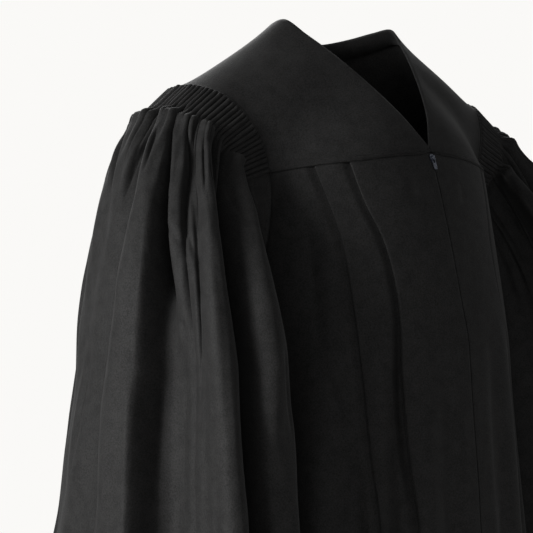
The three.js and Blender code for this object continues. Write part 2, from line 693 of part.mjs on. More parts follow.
// Tapes and coil in one closed strip behind the front edges
function makeZip() {
  const front = WALL / 2 + ZIP.gap;
  const halves = [
    { across: ZIP.coilWidth / 2, thick: ZIP.coil },
    { across: ZIP.coilWidth / 2 + ZIP.coilEdge, thick: ZIP.tape },
    { across: ZIP.width / 2, thick: ZIP.tape },
  ];
  const rows = [SEAM_ROW, ...ROWS.keys()].filter((row) => row <= ZIP.lastRow).map((row) => {
    const right = halves.map(({ across, thick }) => {
      const turn = degreesFor('front', rowHeight('front', row, 0), 0, across);
      const z = rowHeight('front', row, turn);
      const facing = sectionNormal('front', z, turn);
      const place = sectionPoint('front', z, turn).addScaledVector(facing, -front - thick / 2);
      return { place, wall: facing.multiplyScalar(thick / 2), mark: 0 };
    });
    const left = right.map(mirroredSpot);
    return [...right.reverse(), ...left].map((spot, i) => ({ ...spot, mark: i }));
  });
  return makeShell(rows, false);
}

const vector = (x, y, z) => new THREE.Vector3(x, y, z);
const OUTWARD = vector(0, -1, 0);
const UPWARD = vector(0, 0, 1);
const ACROSS = vector(1, 0, 0);

// An outline pushed through a thickness, centred on it, with its two directions turned as named
function pushed(outline, holes, thickness, first, second) {
  const points = (list) => list.map(([x, y]) => new THREE.Vector2(x, y));
  const shape = new THREE.Shape(points(outline));
  shape.holes = holes.map((hole) => new THREE.Path(points(hole)));
  const geometry = new THREE.ExtrudeGeometry(shape, { depth: thickness, bevelEnabled: false });
  geometry.translate(0, 0, -thickness / 2);
  const third = first.clone().cross(second);
  return geometry.applyMatrix4(new THREE.Matrix4().makeBasis(first, second, third));
}

const wasm = await Module();
wasm.setup();

function solidOf(geometry) {
  const bare = geometry.clone();
  bare.deleteAttribute('normal');
  bare.deleteAttribute('uv');
  const merged = mergeVertices(bare, 1e-4);
  return new wasm.Manifold(new wasm.Mesh({
    numProp: 3,
    vertProperties: new Float32Array(merged.attributes.position.array),
    triVerts: new Uint32Array(merged.index.array),
  }));
}

function joined(first, second) {
  const mesh = solidOf(first).add(solidOf(second)).getMesh();
  const geometry = new THREE.BufferGeometry();
  geometry.setAttribute('position', new THREE.BufferAttribute(mesh.vertProperties, 3));
  geometry.setIndex(new THREE.BufferAttribute(mesh.triVerts, 1));
  return geometry;
}

// The slider: a plate with tapered ends, and an arch on it that holds the pull
function makeSlider() {
  const [half, end, thick] = [SLIDER.width / 2, SLIDER.length / 2, SLIDER.thick];
  const outline = [
    [-half, end * 0.5], [-half * 0.8, -end], [half * 0.8, -end], [half, end * 0.5],
    [half * 0.5, end], [-half * 0.5, end],
  ];
  const body = pushed(outline, [], thick, ACROSS, UPWARD);
  const foot = BAIL.length / 2;
  const face = thick / 2;
  const [inside, outside] = [face + BAIL.rise, face + BAIL.rise + BAIL.bar];
  const sunk = face - thick / 4;
  const arch = [
    [sunk, -foot], [face, -foot], [outside, -foot + BAIL.bar], [outside, foot - BAIL.bar], [face, foot],
    [sunk, foot], [sunk, foot - 1.3 * BAIL.bar], [face, foot - 1.3 * BAIL.bar],
    [inside, foot - 2 * BAIL.bar], [inside, 2 * BAIL.bar - foot], [face, 1.3 * BAIL.bar - foot],
    [sunk, 1.3 * BAIL.bar - foot],
  ];
  return joined(body, pushed(arch, [], BAIL.width, OUTWARD, UPWARD));
}

// The pull, drawn from its pivot: a flat tab with a slot whose top bar lies under the arch
function makePull() {
  const [half, slot, bar] = [PULL.width / 2, PULL.slotWidth / 2, PULL.bar / 2];
  const tip = bar - PULL.length;
  const outline = [
    [-half, bar - 0.6], [-half, tip + 1.4], [-half + 1.2, tip], [half - 1.2, tip], [half, tip + 1.4],
    [half, bar - 0.6], [half - 0.6, bar], [0.6 - half, bar],
  ];
  const opening = [[-slot, -bar], [slot, -bar], [slot, -bar - PULL.slot], [-slot, -bar - PULL.slot]];
  return pushed(outline, [opening], PULL.thick, ACROSS, UPWARD);
}

function mesh(name, geometry, finish) {
  const piece = new THREE.Mesh(geometry, new THREE.MeshStandardMaterial(finish));
  piece.name = name;
  return piece;
}

// Slider and pull stand square to the front, which slopes forward below the V
function makeFastening() {
  const above = sectionPoint('front', rowHeight('front', SEAM_ROW, 0), 0);
  const below = sectionPoint('front', rowHeight('front', 0, 0), 0);
  const group = new THREE.Group();
  group.rotation.x = -Math.atan2(above.y - below.y, above.z - below.z);
  group.position.lerpVectors(above, below, (above.z - SLIDER.z) / (above.z - below.z));
  const slider = mesh('zip_slider', makeSlider(), NICKEL);
  const pull = mesh('zip_pull', makePull(), NICKEL);
  pull.position.y = -(SLIDER.thick / 2 + PULL.play + PULL.thick / 2);
  pull.position.z = 2 * BAIL.bar - BAIL.length / 2 + PULL.play + PULL.bar / 2;
  group.add(slider, pull);
  return group;
}

function makeGown() {
  const gown = new THREE.Group();
  const front = makeFront();
  const sleeve = makeSleeve();
  gown.add(mesh('yoke', makeYoke(), BLACK_CLOTH));
  gown.add(mesh('front_right', front, BLACK_CLOTH));
  gown.add(mesh('front_left', mirrored(front), BLACK_CLOTH));
  gown.add(mesh('back', makeBack(), BLACK_CLOTH));
  gown.add(mesh('sleeve_right', sleeve, BLACK_CLOTH));
  gown.add(mesh('sleeve_left', mirrored(sleeve), BLACK_CLOTH));
  gown.add(mesh('zip_chain', makeZip(), BLACK_TAPE));
  gown.add(makeFastening());
  return gown;
}

export default makeGown();
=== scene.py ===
"""Looks of a graduation gown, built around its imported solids.

Tables and sizes are in millimetres and meshes are placed in metres. +Z is up, the front faces -Y and
the wearer's right side is at -X. The origin lies between the two shoulder points of the neckline.
"""

import logging
import math
from collections.abc import Iterable
from dataclasses import dataclass
from enum import Enum

import bpy
import numpy as np
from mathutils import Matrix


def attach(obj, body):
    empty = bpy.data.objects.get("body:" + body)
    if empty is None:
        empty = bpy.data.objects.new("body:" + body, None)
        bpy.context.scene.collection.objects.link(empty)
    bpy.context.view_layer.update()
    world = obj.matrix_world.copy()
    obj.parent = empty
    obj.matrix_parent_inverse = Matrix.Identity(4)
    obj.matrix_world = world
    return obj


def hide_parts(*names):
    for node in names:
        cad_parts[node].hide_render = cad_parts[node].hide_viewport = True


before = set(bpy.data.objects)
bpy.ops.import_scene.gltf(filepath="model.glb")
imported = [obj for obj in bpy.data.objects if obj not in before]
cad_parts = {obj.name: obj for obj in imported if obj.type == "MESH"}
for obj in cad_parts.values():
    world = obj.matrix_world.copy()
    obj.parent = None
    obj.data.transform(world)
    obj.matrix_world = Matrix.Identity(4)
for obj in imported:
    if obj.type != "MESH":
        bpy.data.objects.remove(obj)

LOG = logging.getLogger("gown")
MM = 0.001
SEAM_GAP = 0.3
HEM_ROWS = 5
SIDE_Y = 25.0
UNDERARM_Z = -322.0
CORNER_TURN = 150.0
UNDER_TURN = -210.0
MIRROR = np.array([-1.0, 1.0, 1.0])
WEAVE_MAP = "cloth"
Rows = list[tuple[float, ...]]
Pair = tuple[np.ndarray, np.ndarray]


class Face(Enum):
    """Front or back of the gown's body."""

    FRONT = "front"
    BACK = "back"


class Side(Enum):
    """Wearer's right or left half."""

    RIGHT = "right"
    LEFT = "left"


def smooth(value: np.ndarray, start: float, end: float) -> np.ndarray:
    """A smooth step from 0 at start to 1 at end.

    Args:
        value: where to read the step.
        start: value at which it is still 0.
        end: value from which it is 1.

    Returns:
        The step at each value.
    """
    share = np.clip((np.asarray(value, float) - start) / (end - start), 0.0, 1.0)
    return share * share * (3.0 - 2.0 * share)


def mix(first: np.ndarray, second: np.ndarray, share: np.ndarray) -> np.ndarray:
    """The value that lies a share of the way from first to second."""
    return first + (second - first) * share


def bell(value: np.ndarray, middle: float, width: float) -> np.ndarray:
    """A smooth bump, 1 high at its middle."""
    return np.exp(-(((value - middle) / width) ** 2))


def unit(vectors: np.ndarray) -> np.ndarray:
    """The vectors at length 1."""
    length = np.linalg.norm(vectors, axis=-1, keepdims=True)
    return vectors / np.maximum(length, 1e-9)


class SmoothTable:
    """Rows of numbers that are read between their rows along a smooth curve."""

    def __init__(self, names: str, rows: Rows) -> None:
        """Keeps the rows.

        Args:
            names: column names with spaces between them, the key first.
            rows: one tuple for each row.
        """
        numbers = np.array(rows, float)
        if numbers[0, 0] > numbers[-1, 0]:
            numbers = numbers[::-1]
        self.key = numbers[:, 0]
        last = len(rows) - 1
        before = np.maximum(np.arange(last + 1) - 1, 0)
        after = np.minimum(np.arange(last + 1) + 1, last)
        self.columns: dict[str, np.ndarray] = {}
        self.slopes: dict[str, np.ndarray] = {}
        for i, name in enumerate(names.split()[1:], start=1):
            column = numbers[:, i]
            self.columns[name] = column
            self.slopes[name] = (column[after] - column[before]) / (self.key[after] - self.key[before])

    def read(self, place: np.ndarray, name: str) -> np.ndarray:
        """Reads one column.

        Args:
            place: keys to read at.
            name: the column.

        Returns:
            The column's values there.
        """
        inside = np.clip(np.asarray(place, float), self.key[0], self.key[-1])
        i = np.clip(np.searchsorted(self.key, inside, side="right") - 1, 0, len(self.key) - 2)
        span = self.key[i + 1] - self.key[i]
        t = (inside - self.key[i]) / span
        t2, t3 = t * t, t * t * t
        column, slopes = self.columns[name], self.slopes[name]
        return (
            (2 * t3 - 3 * t2 + 1) * column[i]
            + (t3 - 2 * t2 + t) * span * slopes[i]
            + (3 * t2 - 2 * t3) * column[i + 1]
            + (t3 - t2) * span * slopes[i + 1]
        )


class SmoothPath:
    """A curve through points that never overshoots, read by its length."""

    def __init__(self, points: Rows) -> None:
        """Samples the curve.

        Args:
            points: the points that it passes, with any numbers that go along with them.
        """
        knots = np.array(points, float)
        knots = np.vstack([2 * knots[0] - knots[1], knots, 2 * knots[-1] - knots[-2]])
        samples = []
        for i in range(1, len(knots) - 2):
            samples.append(self._stretch(knots[i - 1 : i + 3], np.linspace(0, 1, 120, endpoint=False)))
        self.samples = np.vstack([*samples, knots[-2:-1]])
        steps = np.linalg.norm(np.diff(self.samples[:, :3], axis=0), axis=1)
        self.shares = np.concatenate([[0.0], np.cumsum(steps)]) / steps.sum()

    @staticmethod
    def _stretch(knots: np.ndarray, t: np.ndarray) -> np.ndarray:
        """One stretch of the curve.

        Args:
            knots: the four knots around it.
            t: shares of the stretch.

        Returns:
            Points of the stretch.
        """
        gaps = np.maximum(np.linalg.norm(np.diff(knots[:, :3], axis=0), axis=1) ** 0.5, 1e-4)
        a, b, c, d = knots
        first = ((b - a) / gaps[0] - (c - a) / (gaps[0] + gaps[1]) + (c - b) / gaps[1]) * gaps[1]
        second = ((c - b) / gaps[1] - (d - b) / (gaps[1] + gaps[2]) + (d - c) / gaps[2]) * gaps[1]
        t = t[:, None]
        return b + first * t + (-3 * b + 3 * c - 2 * first - second) * t**2 + (
            2 * b - 2 * c + first + second
        ) * t**3

    def at(self, share: np.ndarray) -> np.ndarray:
        """Points at shares of the curve's length."""
        columns = [np.interp(share, self.shares, self.samples[:, i]) for i in range(self.samples.shape[1])]
        return np.stack(columns, axis=-1)


class Drape:
    """Soft unevenness of hanging cloth: a sum of long slanting waves, the same at each run."""

    def __init__(self, seed: int, waves: int, turns: tuple[int, int], length: tuple[float, float]) -> None:
        """Draws the waves.

        Args:
            seed: number that the waves are drawn from.
            waves: how many there are.
            turns: fewest and most waves in a full turn.
            length: shortest and longest wave down the cloth.
        """
        draw = np.random.default_rng(seed)
        self.turns = draw.integers(turns[0], turns[1] + 1, waves)
        self.rates = draw.choice([-1.0, 1.0], waves) * 2 * np.pi / draw.uniform(*length, waves)
        self.starts = draw.uniform(0, 2 * np.pi, waves)
        self.heights = draw.uniform(0.5, 1.0, waves) / math.sqrt(waves)

    def height(self, turn: np.ndarray, down: np.ndarray) -> np.ndarray:
        """Height of the unevenness, about from -1 to 1.

        Args:
            turn: degrees around the piece.
            down: millimetres down the cloth.

        Returns:
            The height there.
        """
        total = np.zeros(np.broadcast(turn, down).shape)
        for count, rate, start, height in zip(self.turns, self.rates, self.starts, self.heights):
            total += height * np.cos(np.radians(turn) * count + down * rate + start)
        return total


@dataclass(frozen=True)
class ClothFinish:
    """Matt black woven polyester."""

    name: str = "black_cloth"
    colour: tuple[float, float, float] = (0.0098, 0.0096, 0.0095)
    worn_colour: tuple[float, float, float] = (0.0215, 0.021, 0.0207)
    roughness: float = 0.72
    specular: float = 0.34
    sheen: float = 0.06
    sheen_roughness: float = 0.4
    thread_pitch: float = 0.42
    weave_height: float = 0.035
    weave_tone: float = 0.25
    mottle_size: float = 1.4
    cloud_ratio: float = 9.0
    tone_range: tuple[float, float] = (0.17, 0.4)
    grain_height: float = 0.2
    fine_strength: float = 0.6
    gloss_range: float = 0.5
    crumple_size: float = 16.0
    crumple_height: float = 0.6
    crumple_strength: float = 0.35

    def material(self) -> bpy.types.Material:
        """Builds the material.

        Returns:
            A material with an over-and-under weave along the cloth, a fine grain and a soft mottle.
        """
        kit = NodeKit(self.name)
        shader = kit.shader
        shader.inputs["Roughness"].default_value = self.roughness
        shader.inputs["Sheen Weight"].default_value = self.sheen
        shader.inputs["Sheen Roughness"].default_value = self.sheen_roughness
        threads = kit.add("ShaderNodeUVMap", uv_map=WEAVE_MAP)
        place = kit.add("ShaderNodeTexCoord")
        across = kit.wave(threads.outputs["UV"], "X", self.thread_pitch * MM)
        along = kit.wave(threads.outputs["UV"], "Y", self.thread_pitch * MM)
        weave = kit.maths("MULTIPLY", across, along)
        mottle = kit.noise(place.outputs["Object"], self.mottle_size * MM, 4.0)
        cloud = kit.noise(place.outputs["Object"], self.mottle_size * self.cloud_ratio * MM, 3.0)
        crumple = kit.noise(place.outputs["Object"], self.crumple_size * MM, 2.0)
        tone = kit.maths("MULTIPLY", mottle, cloud)
        tone = kit.maths("MULTIPLY_ADD", weave, self.weave_tone, tone)
        ramp = kit.ramp(tone, zip(self.tone_range, (self.colour, self.worn_colour)))
        kit.link(ramp, shader.inputs["Base Color"])
        soft = kit.bump(crumple, self.crumple_height * MM, self.crumple_strength)
        gloss = kit.maths("MULTIPLY_ADD", mottle, self.gloss_range, self.specular - self.gloss_range / 2)
        kit.link(gloss, shader.inputs["Specular IOR Level"])
        grain = kit.bump(mottle, self.grain_height * MM, self.fine_strength, soft)
        fine = kit.bump(weave, self.weave_height * MM, self.fine_strength, grain)
        kit.link(fine, shader.inputs["Normal"])
        return kit.material


@dataclass(frozen=True)
class TapeFinish:
    """Woven zip tape and nylon coil."""

    name: str = "black_tape"
    colour: tuple[float, float, float] = (0.008, 0.008, 0.0085)
    bright: tuple[float, float, float] = (0.016, 0.016, 0.017)
    roughness: float = 0.55
    rib_pitch: float = 0.7
    rib_height: float = 0.05
    speckle_size: float = 1.2
    tone_range: tuple[float, float] = (0.1, 0.7)

    def material(self) -> bpy.types.Material:
        """Builds the material with fine ribs across the tape."""
        kit = NodeKit(self.name)
        kit.shader.inputs["Roughness"].default_value = self.roughness
        place = kit.add("ShaderNodeTexCoord")
        ribs = kit.wave(place.outputs["Object"], "Z", self.rib_pitch * MM)
        speckle = kit.noise(place.outputs["Object"], self.speckle_size * MM, 2.0)
        tone = kit.maths("MULTIPLY", ribs, speckle)
        ramp = kit.ramp(tone, zip(self.tone_range, (self.colour, self.bright)))
        kit.link(ramp, kit.shader.inputs["Base Color"])
        kit.link(kit.bump(ribs, self.rib_height * MM, 0.5), kit.shader.inputs["Normal"])
        return kit.material


@dataclass(frozen=True)
class NickelFinish:
    """Bright plated zinc with fine rubbing marks."""

    name: str = "slider_metal"
    colour: tuple[float, float, float] = (0.3, 0.32, 0.38)
    dull: tuple[float, float, float] = (0.12, 0.13, 0.15)
    roughness: float = 0.26
    rough_range: float = 0.22
    wear_size: float = 1.6
    wear_height: float = 0.02
    tone_range: tuple[float, float] = (0.3, 0.6)

    def material(self) -> bpy.types.Material:
        """Builds the material with cloudy wear in its colour and roughness."""
        kit = NodeKit(self.name)
        kit.shader.inputs["Metallic"].default_value = 1.0
        place = kit.add("ShaderNodeTexCoord")
        wear = kit.noise(place.outputs["Object"], self.wear_size * MM, 4.0)
        ramp = kit.ramp(wear, zip(self.tone_range, (self.dull, self.colour)))
        kit.link(ramp, kit.shader.inputs["Base Color"])
        rough = kit.maths("MULTIPLY_ADD", wear, self.rough_range, self.roughness - 0.1)
        kit.link(rough, kit.shader.inputs["Roughness"])
        kit.link(kit.bump(wear, self.wear_height * MM, 0.3), kit.shader.inputs["Normal"])
        return kit.material


@dataclass(frozen=True)
class FloorFinish:
    """Pale studio floor."""

    name: str = "studio_floor"
    colour: tuple[float, float, float] = (0.86, 0.855, 0.845)
    roughness: float = 0.7
    grain_size: float = 0.2
    grain_tone: float = 0.97

    def material(self) -> bpy.types.Material:
        """Builds the material with a faint grain."""
        kit = NodeKit(self.name)
        kit.shader.inputs["Roughness"].default_value = self.roughness
        place = kit.add("ShaderNodeTexCoord")
        grain = kit.noise(place.outputs["Object"], self.grain_size, 3.0)
        dark = tuple(self.grain_tone * part for part in self.colour)
        kit.link(kit.ramp(grain, [(0.3, dark), (0.7, self.colour)]), kit.shader.inputs["Base Color"])
        return kit.material


class NodeKit:
    """Short words for building one material's nodes."""

    def __init__(self, name: str) -> None:
        """Makes an empty material of that name with its shader."""
        self.material = bpy.data.materials.new(name)
        self.material.use_nodes = True
        self.tree = self.material.node_tree
        self.shader = self.tree.nodes["Principled BSDF"]

    def add(self, kind: str, **settings: object) -> bpy.types.Node:
        """Adds a node.

        Args:
            kind: Blender's name of the node type.
            settings: attributes to set on it.

        Returns:
            The node.
        """
        node = self.tree.nodes.new(kind)
        for name, value in settings.items():
            setattr(node, name, value)
        return node

    def link(self, source: bpy.types.NodeSocket, target: bpy.types.NodeSocket) -> None:
        """Joins an output to an input."""
        self.tree.links.new(source, target)

    def feed(self, value: object, target: bpy.types.NodeSocket) -> None:
        """Links a socket, or sets a number, on an input."""
        if isinstance(value, bpy.types.NodeSocket):
            self.link(value, target)
        else:
            target.default_value = value

    def wave(self, place: bpy.types.NodeSocket, axis: str, pitch: float) -> bpy.types.NodeSocket:
        """Even ridges across an axis.

        Args:
            place: coordinates.
            axis: X, Y or Z.
            pitch: metres from ridge to ridge.

        Returns:
            The ridges' height, from 0 to 1.
        """
        node = self.add("ShaderNodeTexWave", wave_type="BANDS", bands_direction=axis)
        node.inputs["Scale"].default_value = 2 * math.pi / (20 * pitch)
        node.inputs["Detail"].default_value = 0.0
        self.link(place, node.inputs["Vector"])
        return node.outputs["Fac"]

    def noise(self, place: bpy.types.NodeSocket, size: float, detail: float) -> bpy.types.NodeSocket:
        """Cloudy noise.

        Args:
            place: coordinates.
            size: metres from cloud to cloud.
            detail: how many finer clouds lie in it.

        Returns:
            The noise, from 0 to 1.
        """
        node = self.add("ShaderNodeTexNoise")
        node.inputs["Scale"].default_value = 1 / size
        node.inputs["Detail"].default_value = detail
        self.link(place, node.inputs["Vector"])
        return node.outputs["Fac"]

    def maths(self, word: str, *values: object) -> bpy.types.NodeSocket:
        """Arithmetic on sockets and numbers.

        Args:
            word: Blender's name of the operation.
            values: its inputs.

        Returns:
            The result.
        """
        node = self.add("ShaderNodeMath", operation=word)
        for i, value in enumerate(values):
            self.feed(value, node.inputs[i])
        return node.outputs[0]

    def ramp(self, value: bpy.types.NodeSocket, stops: Iterable[tuple]) -> bpy.types.NodeSocket:
        """Colours along a value.

        Args:
            value: from 0 to 1.
            stops: places and colours.

        Returns:
            The colour.
        """
        node = self.add("ShaderNodeValToRGB")
        for element, (place, colour) in zip(node.color_ramp.elements, stops):
            element.position = place
            element.color = (*colour, 1.0)
        self.link(value, node.inputs["Fac"])
        return node.outputs["Color"]

    def bump(
        self,
        height: bpy.types.NodeSocket,
        distance: float,
        strength: float,
        under: bpy.types.NodeSocket | None = None,
    ) -> bpy.types.NodeSocket:
        """Relief from a height.

        Args:
            height: from 0 to 1.
            distance: metres that 1 stands for.
            strength: share of it that shows.
            under: normal that it is laid over.

        Returns:
            The normal.
        """
        node = self.add("ShaderNodeBump")
        node.inputs["Distance"].default_value = distance
        node.inputs["Strength"].default_value = strength
        self.link(height, node.inputs["Height"])
        if under is not None:
            self.link(under, node.inputs["Normal"])
        return node.outputs["Normal"]


class Wardrobe:
    """The finishes, each made once."""

    def __init__(self) -> None:
        """Makes the materials."""
        self.cloth = ClothFinish().material()
        self.tape = TapeFinish().material()
        self.nickel = NickelFinish().material()
        self.floor = FloorFinish().material()


def mesh_object(
    name: str, spots: np.ndarray, faces: np.ndarray, weave: np.ndarray, finish: bpy.types.Material
) -> bpy.types.Object:
    """Makes a smooth mesh object.

    Args:
        name: its name.
        spots: vertices in millimetres.
        faces: vertex indices, four to a face.
        weave: place on the flat cloth for each face corner, in metres.
        finish: its material.

    Returns:
        The object, linked to the scene.
    """
    mesh = bpy.data.meshes.new(name)
    mesh.from_pydata((spots * MM).tolist(), [], faces.tolist())
    layer = mesh.uv_layers.new(name=WEAVE_MAP)
    layer.data.foreach_set("uv", weave.astype(np.float32).ravel())
    mesh.polygons.foreach_set("use_smooth", np.ones(len(faces), bool))
    mesh.materials.append(finish)
    mesh.update()
    piece = bpy.data.objects.new(name, mesh)
    bpy.context.scene.collection.objects.link(piece)
    return piece


def grid_facing(places: np.ndarray, wraps: bool) -> np.ndarray:
    """Directions in which a grid of points faces.

    Args:
        places: rows by columns of points.
        wraps: whether the last column joins the first.

    Returns:
        A unit vector at each point.
    """
    down = np.gradient(places, axis=0)
    if wraps:
        across = (np.roll(places, -1, axis=1) - np.roll(places, 1, axis=1)) / 2
    else:
        across = np.gradient(places, axis=1)
    return unit(np.cross(down, across))


@dataclass
class ClothGrid:
    """A sheet of cloth as rows and columns of points."""

    places: np.ndarray
    wraps: bool = False
    thickness: float = 1.0
    rim_share: float = 0.42

    def weave_places(self) -> np.ndarray:
        """Place of each point on the flat cloth, in metres, with one column more where the grid wraps."""
        places = self.places
        if self.wraps:
            places = np.concatenate([places, places[:, :1]], axis=1)
        across = np.linalg.norm(np.diff(places, axis=1), axis=-1)
        down = np.linalg.norm(np.diff(places, axis=0), axis=-1).mean(axis=1)
        u = np.concatenate([np.zeros((len(places), 1)), np.cumsum(across, axis=1)], axis=1)
        u -= u[:, -1:] / 2
        v = np.concatenate([[0.0], np.cumsum(down)])
        return np.stack([u, np.broadcast_to(v[:, None], u.shape)], axis=-1) * MM

    def solid(self, name: str, finish: bpy.types.Material) -> bpy.types.Object:
        """Gives the sheet its thickness, with round edges.

        Args:
            name: the object's name.
            finish: its material.

        Returns:
            The closed mesh object.
        """
        rows, columns = self.places.shape[:2]
        facing = grid_facing(self.places, self.wraps)
        outer = self.places + facing * self.thickness / 2
        inner = self.places - facing * self.thickness / 2
        count = rows * columns
        index = np.arange(count).reshape(rows, columns)
        weave = self.weave_places()
        wide = np.concatenate([index, index[:, :1]], axis=1) if self.wraps else index
        quads = self._quads(wide)
        quad_weave = self._quad_places(weave)
        spots = [outer.reshape(-1, 3), inner.reshape(-1, 3)]
        faces = [quads, quads[:, ::-1] + count]
        weaves = [quad_weave, quad_weave[:, ::-1]]
        total = 2 * count
        for loop, inside in self._rims(index):
            edge = self.places.reshape(-1, 3)[loop]
            outward = unit(edge - self.places.reshape(-1, 3)[inside])
            spots.append(edge + outward * self.thickness * self.rim_share)
            rim = total + np.arange(len(loop))
            total += len(loop)
            flat = weave[:, :columns].reshape(-1, 2)[loop]
            after = np.roll(np.arange(len(loop)), -1)
            for first, second in ((loop, rim), (rim, loop + count)):
                faces.append(np.stack([first, second, second[after], first[after]], axis=1))
                weaves.append(np.stack([flat] * 4, axis=1))
        spots = np.vstack(spots)
        faces = np.vstack(faces)
        weaves = np.concatenate(weaves)
        corners = spots[faces]
        volume = sum(
            np.einsum("ij,ij->", corners[:, 0], np.cross(corners[:, i], corners[:, i + 1])) for i in (1, 2)
        )
        if volume < 0:
            faces, weaves = faces[:, ::-1], weaves[:, ::-1]
        return mesh_object(name, spots, faces, weaves, finish)

    @staticmethod
    def _quads(index: np.ndarray) -> np.ndarray:
        """Faces between rows and columns of vertex indices."""
        corners = [index[:-1, :-1], index[1:, :-1], index[1:, 1:], index[:-1, 1:]]
        return np.stack(corners, axis=-1).reshape(-1, 4)

    @staticmethod
    def _quad_places(weave: np.ndarray) -> np.ndarray:
        """Flat places of those faces' corners."""
        corners = [weave[:-1, :-1], weave[1:, :-1], weave[1:, 1:], weave[:-1, 1:]]
        return np.stack(corners, axis=-2).reshape(-1, 4, 2)

    def _rims(self, index: np.ndarray) -> list[Pair]:
        """The sheet's open edges.

        Args:
            index: vertex index of each point.

        Returns:
            For each edge loop its vertices in order, and the neighbours that lie inward of them.
        """

        def order(grid: np.ndarray) -> np.ndarray:
            """The grid's outer points, once around."""
            return np.concatenate([grid[0, :0:-1], grid[:-1, 0], grid[-1, :-1], grid[:0:-1, -1]])

        if self.wraps:
            return [(index[0, ::-1], index[1, ::-1]), (index[-1], index[-2])]
        inward = index.copy()
        inward[:, 0], inward[:, -1] = index[:, 1], index[:, -2]
        inward[0, 1:-1], inward[-1, 1:-1] = index[1, 1:-1], index[-2, 1:-1]
        return [(order(index), order(inward))]


@dataclass(frozen=True)
class BodyForm:
    """The gown's body: level sections, yoke seam, armhole edge and pleats."""

    sections: SmoothTable
    waves: dict[Face, SmoothTable]
    seams: dict[Face, SmoothTable]
    armhole_edges: SmoothTable
    roundness: dict[Face, float]

    def radius(self, face: Face, z: np.ndarray, turn: np.ndarray) -> np.ndarray:
        """Distance from the body's axis to the cloth."""
        power = self.roundness[face]
        half = self.sections.read(z, "half")
        reach = np.abs(self.sections.read(z, face.value) - SIDE_Y)
        sine, cosine = np.sin(np.radians(turn)), np.cos(np.radians(turn))
        base = (np.abs(sine / half) ** power + np.abs(cosine / reach) ** power) ** (-1 / power)
        return base + self.sections.read(z, "wave") * self.waves[face].read(turn, "height")

    def point(self, face: Face, z: np.ndarray, turn: np.ndarray) -> np.ndarray:
        """Place on the body.

        Args:
            face: front or back.
            z: height.
            turn: degrees from the centre line towards the wearer's right side.

        Returns:
            Points.
        """
        z, turn = np.broadcast_arrays(np.asarray(z, float), np.asarray(turn, float))
        radius = self.radius(face, z, turn)
        forward = -1.0 if face is Face.FRONT else 1.0
        return np.stack(
            [
                -radius * np.sin(np.radians(turn)),
                SIDE_Y + forward * radius * np.cos(np.radians(turn)),
                z,
            ],
            axis=-1,
        )

    def facing(self, face: Face, z: np.ndarray, turn: np.ndarray) -> np.ndarray:
        """Level direction in which the cloth faces there."""
        run = unit(self.point(face, z, turn + 0.5) - self.point(face, z, turn - 0.5))
        sign = 1.0 if face is Face.FRONT else -1.0
        return np.stack([-run[..., 1] * sign, run[..., 0] * sign, np.zeros(run.shape[:-1])], axis=-1)

    def degrees(self, face: Face, z: np.ndarray, turn: np.ndarray, length: np.ndarray) -> np.ndarray:
        """Degrees that a length takes up around the body."""
        return np.degrees(length / self.radius(face, z, turn))


def body_form() -> BodyForm:
    """The body's measures.

    Returns:
        The form, from the same tables as the solids.
    """
    return BodyForm(
        sections=SmoothTable(
            "z half front back wave",
            [
                (-140, 162, -113, 117, 0),
                (-180, 161, -127, 124, 0),
                (-240, 160, -144, 130, 0),
                (-300, 160, -159, 134, 0),
                (-330, 160, -166, 135, 1),
                (-390, 160, -171, 137, 2),
                (-470, 161, -178, 142, 4),
                (-520, 163, -181, 150, 6),
                (-660, 174, -190, 172, 11),
                (-900, 240, -220, 225, 21),
                (-1350, 365, -300, 310, 32),
            ],
        ),
        waves={
            Face.FRONT: SmoothTable(
                "turn height",
                [(0, 0.4), (3, 0.4), (6, 0.4), (11, -0.5), (17.5, 1), (23.5, -1), (29.5, 0.9), (37, -1)]
                + [(49, 1), (61, -1), (76, 1), (90, -0.7)],
            ),
            Face.BACK: SmoothTable(
                "turn height",
                [(0, 0.6), (8, -0.6), (13, 0.9), (20, -1), (30, 1), (38, -1), (49, 1), (61, -1)]
                + [(75, 1), (90, -0.7)],
            ),
        },
        seams={
            Face.FRONT: SmoothTable(
                "turn z", [(0, -141.5), (6, -145), (17, -147), (36, -153.5), (50, -158), (67, -165.5)]
            ),
            Face.BACK: SmoothTable("turn z", [(0, -150), (35, -153), (69.5, -160)]),
        },
        armhole_edges=SmoothTable(
            "z front back",
            [(-160, 67, 69.5), (-200, 66.5, 69), (-250, 69, 71), (-295, 77.5, 79), (-322, 90, 90)],
        ),
        roundness={Face.FRONT: 2.1, Face.BACK: 3.0},
    )


@dataclass(frozen=True)
class Crease:
    """A short crease in the cloth between two places, each a turn and a height."""

    start: tuple[float, float]
    end: tuple[float, float]
    depth: float
    width: float

    def height(self, turn: np.ndarray, z: np.ndarray, scale: float) -> np.ndarray:
        """Height of the crease: a hollow with a low ridge beside it.

        Args:
            turn: degrees around.
            z: height.
            scale: millimetres for each degree.

        Returns:
            Millimetres along the direction in which the cloth faces.
        """
        run = np.array([(self.end[0] - self.start[0]) * scale, self.end[1] - self.start[1]])
        length = float(np.hypot(*run))
        run = run / length
        x, y = (turn - self.start[0]) * scale, z - self.start[1]
        along = (x * run[0] + y * run[1]) / length
        aside = x * run[1] - y * run[0] + self.width * np.sin(along * 2.5 + self.start[0])
        taper = smooth(along, -0.05, 0.3) * (1 - smooth(along, 0.55, 1.05))
        hollow = np.exp(-np.abs(aside / self.width) ** 1.3)
        ridge = bell(aside, 1.9 * self.width, 1.2 * self.width)
        return self.depth * taper * (0.5 * ridge - hollow)


def pleat_table(rows: Rows) -> SmoothTable:
    """A pleat that folds towards the sleeve: its edge, the tuck beneath, lift and pitch at each height."""
    return SmoothTable("z turn tuck lift pitch", rows)


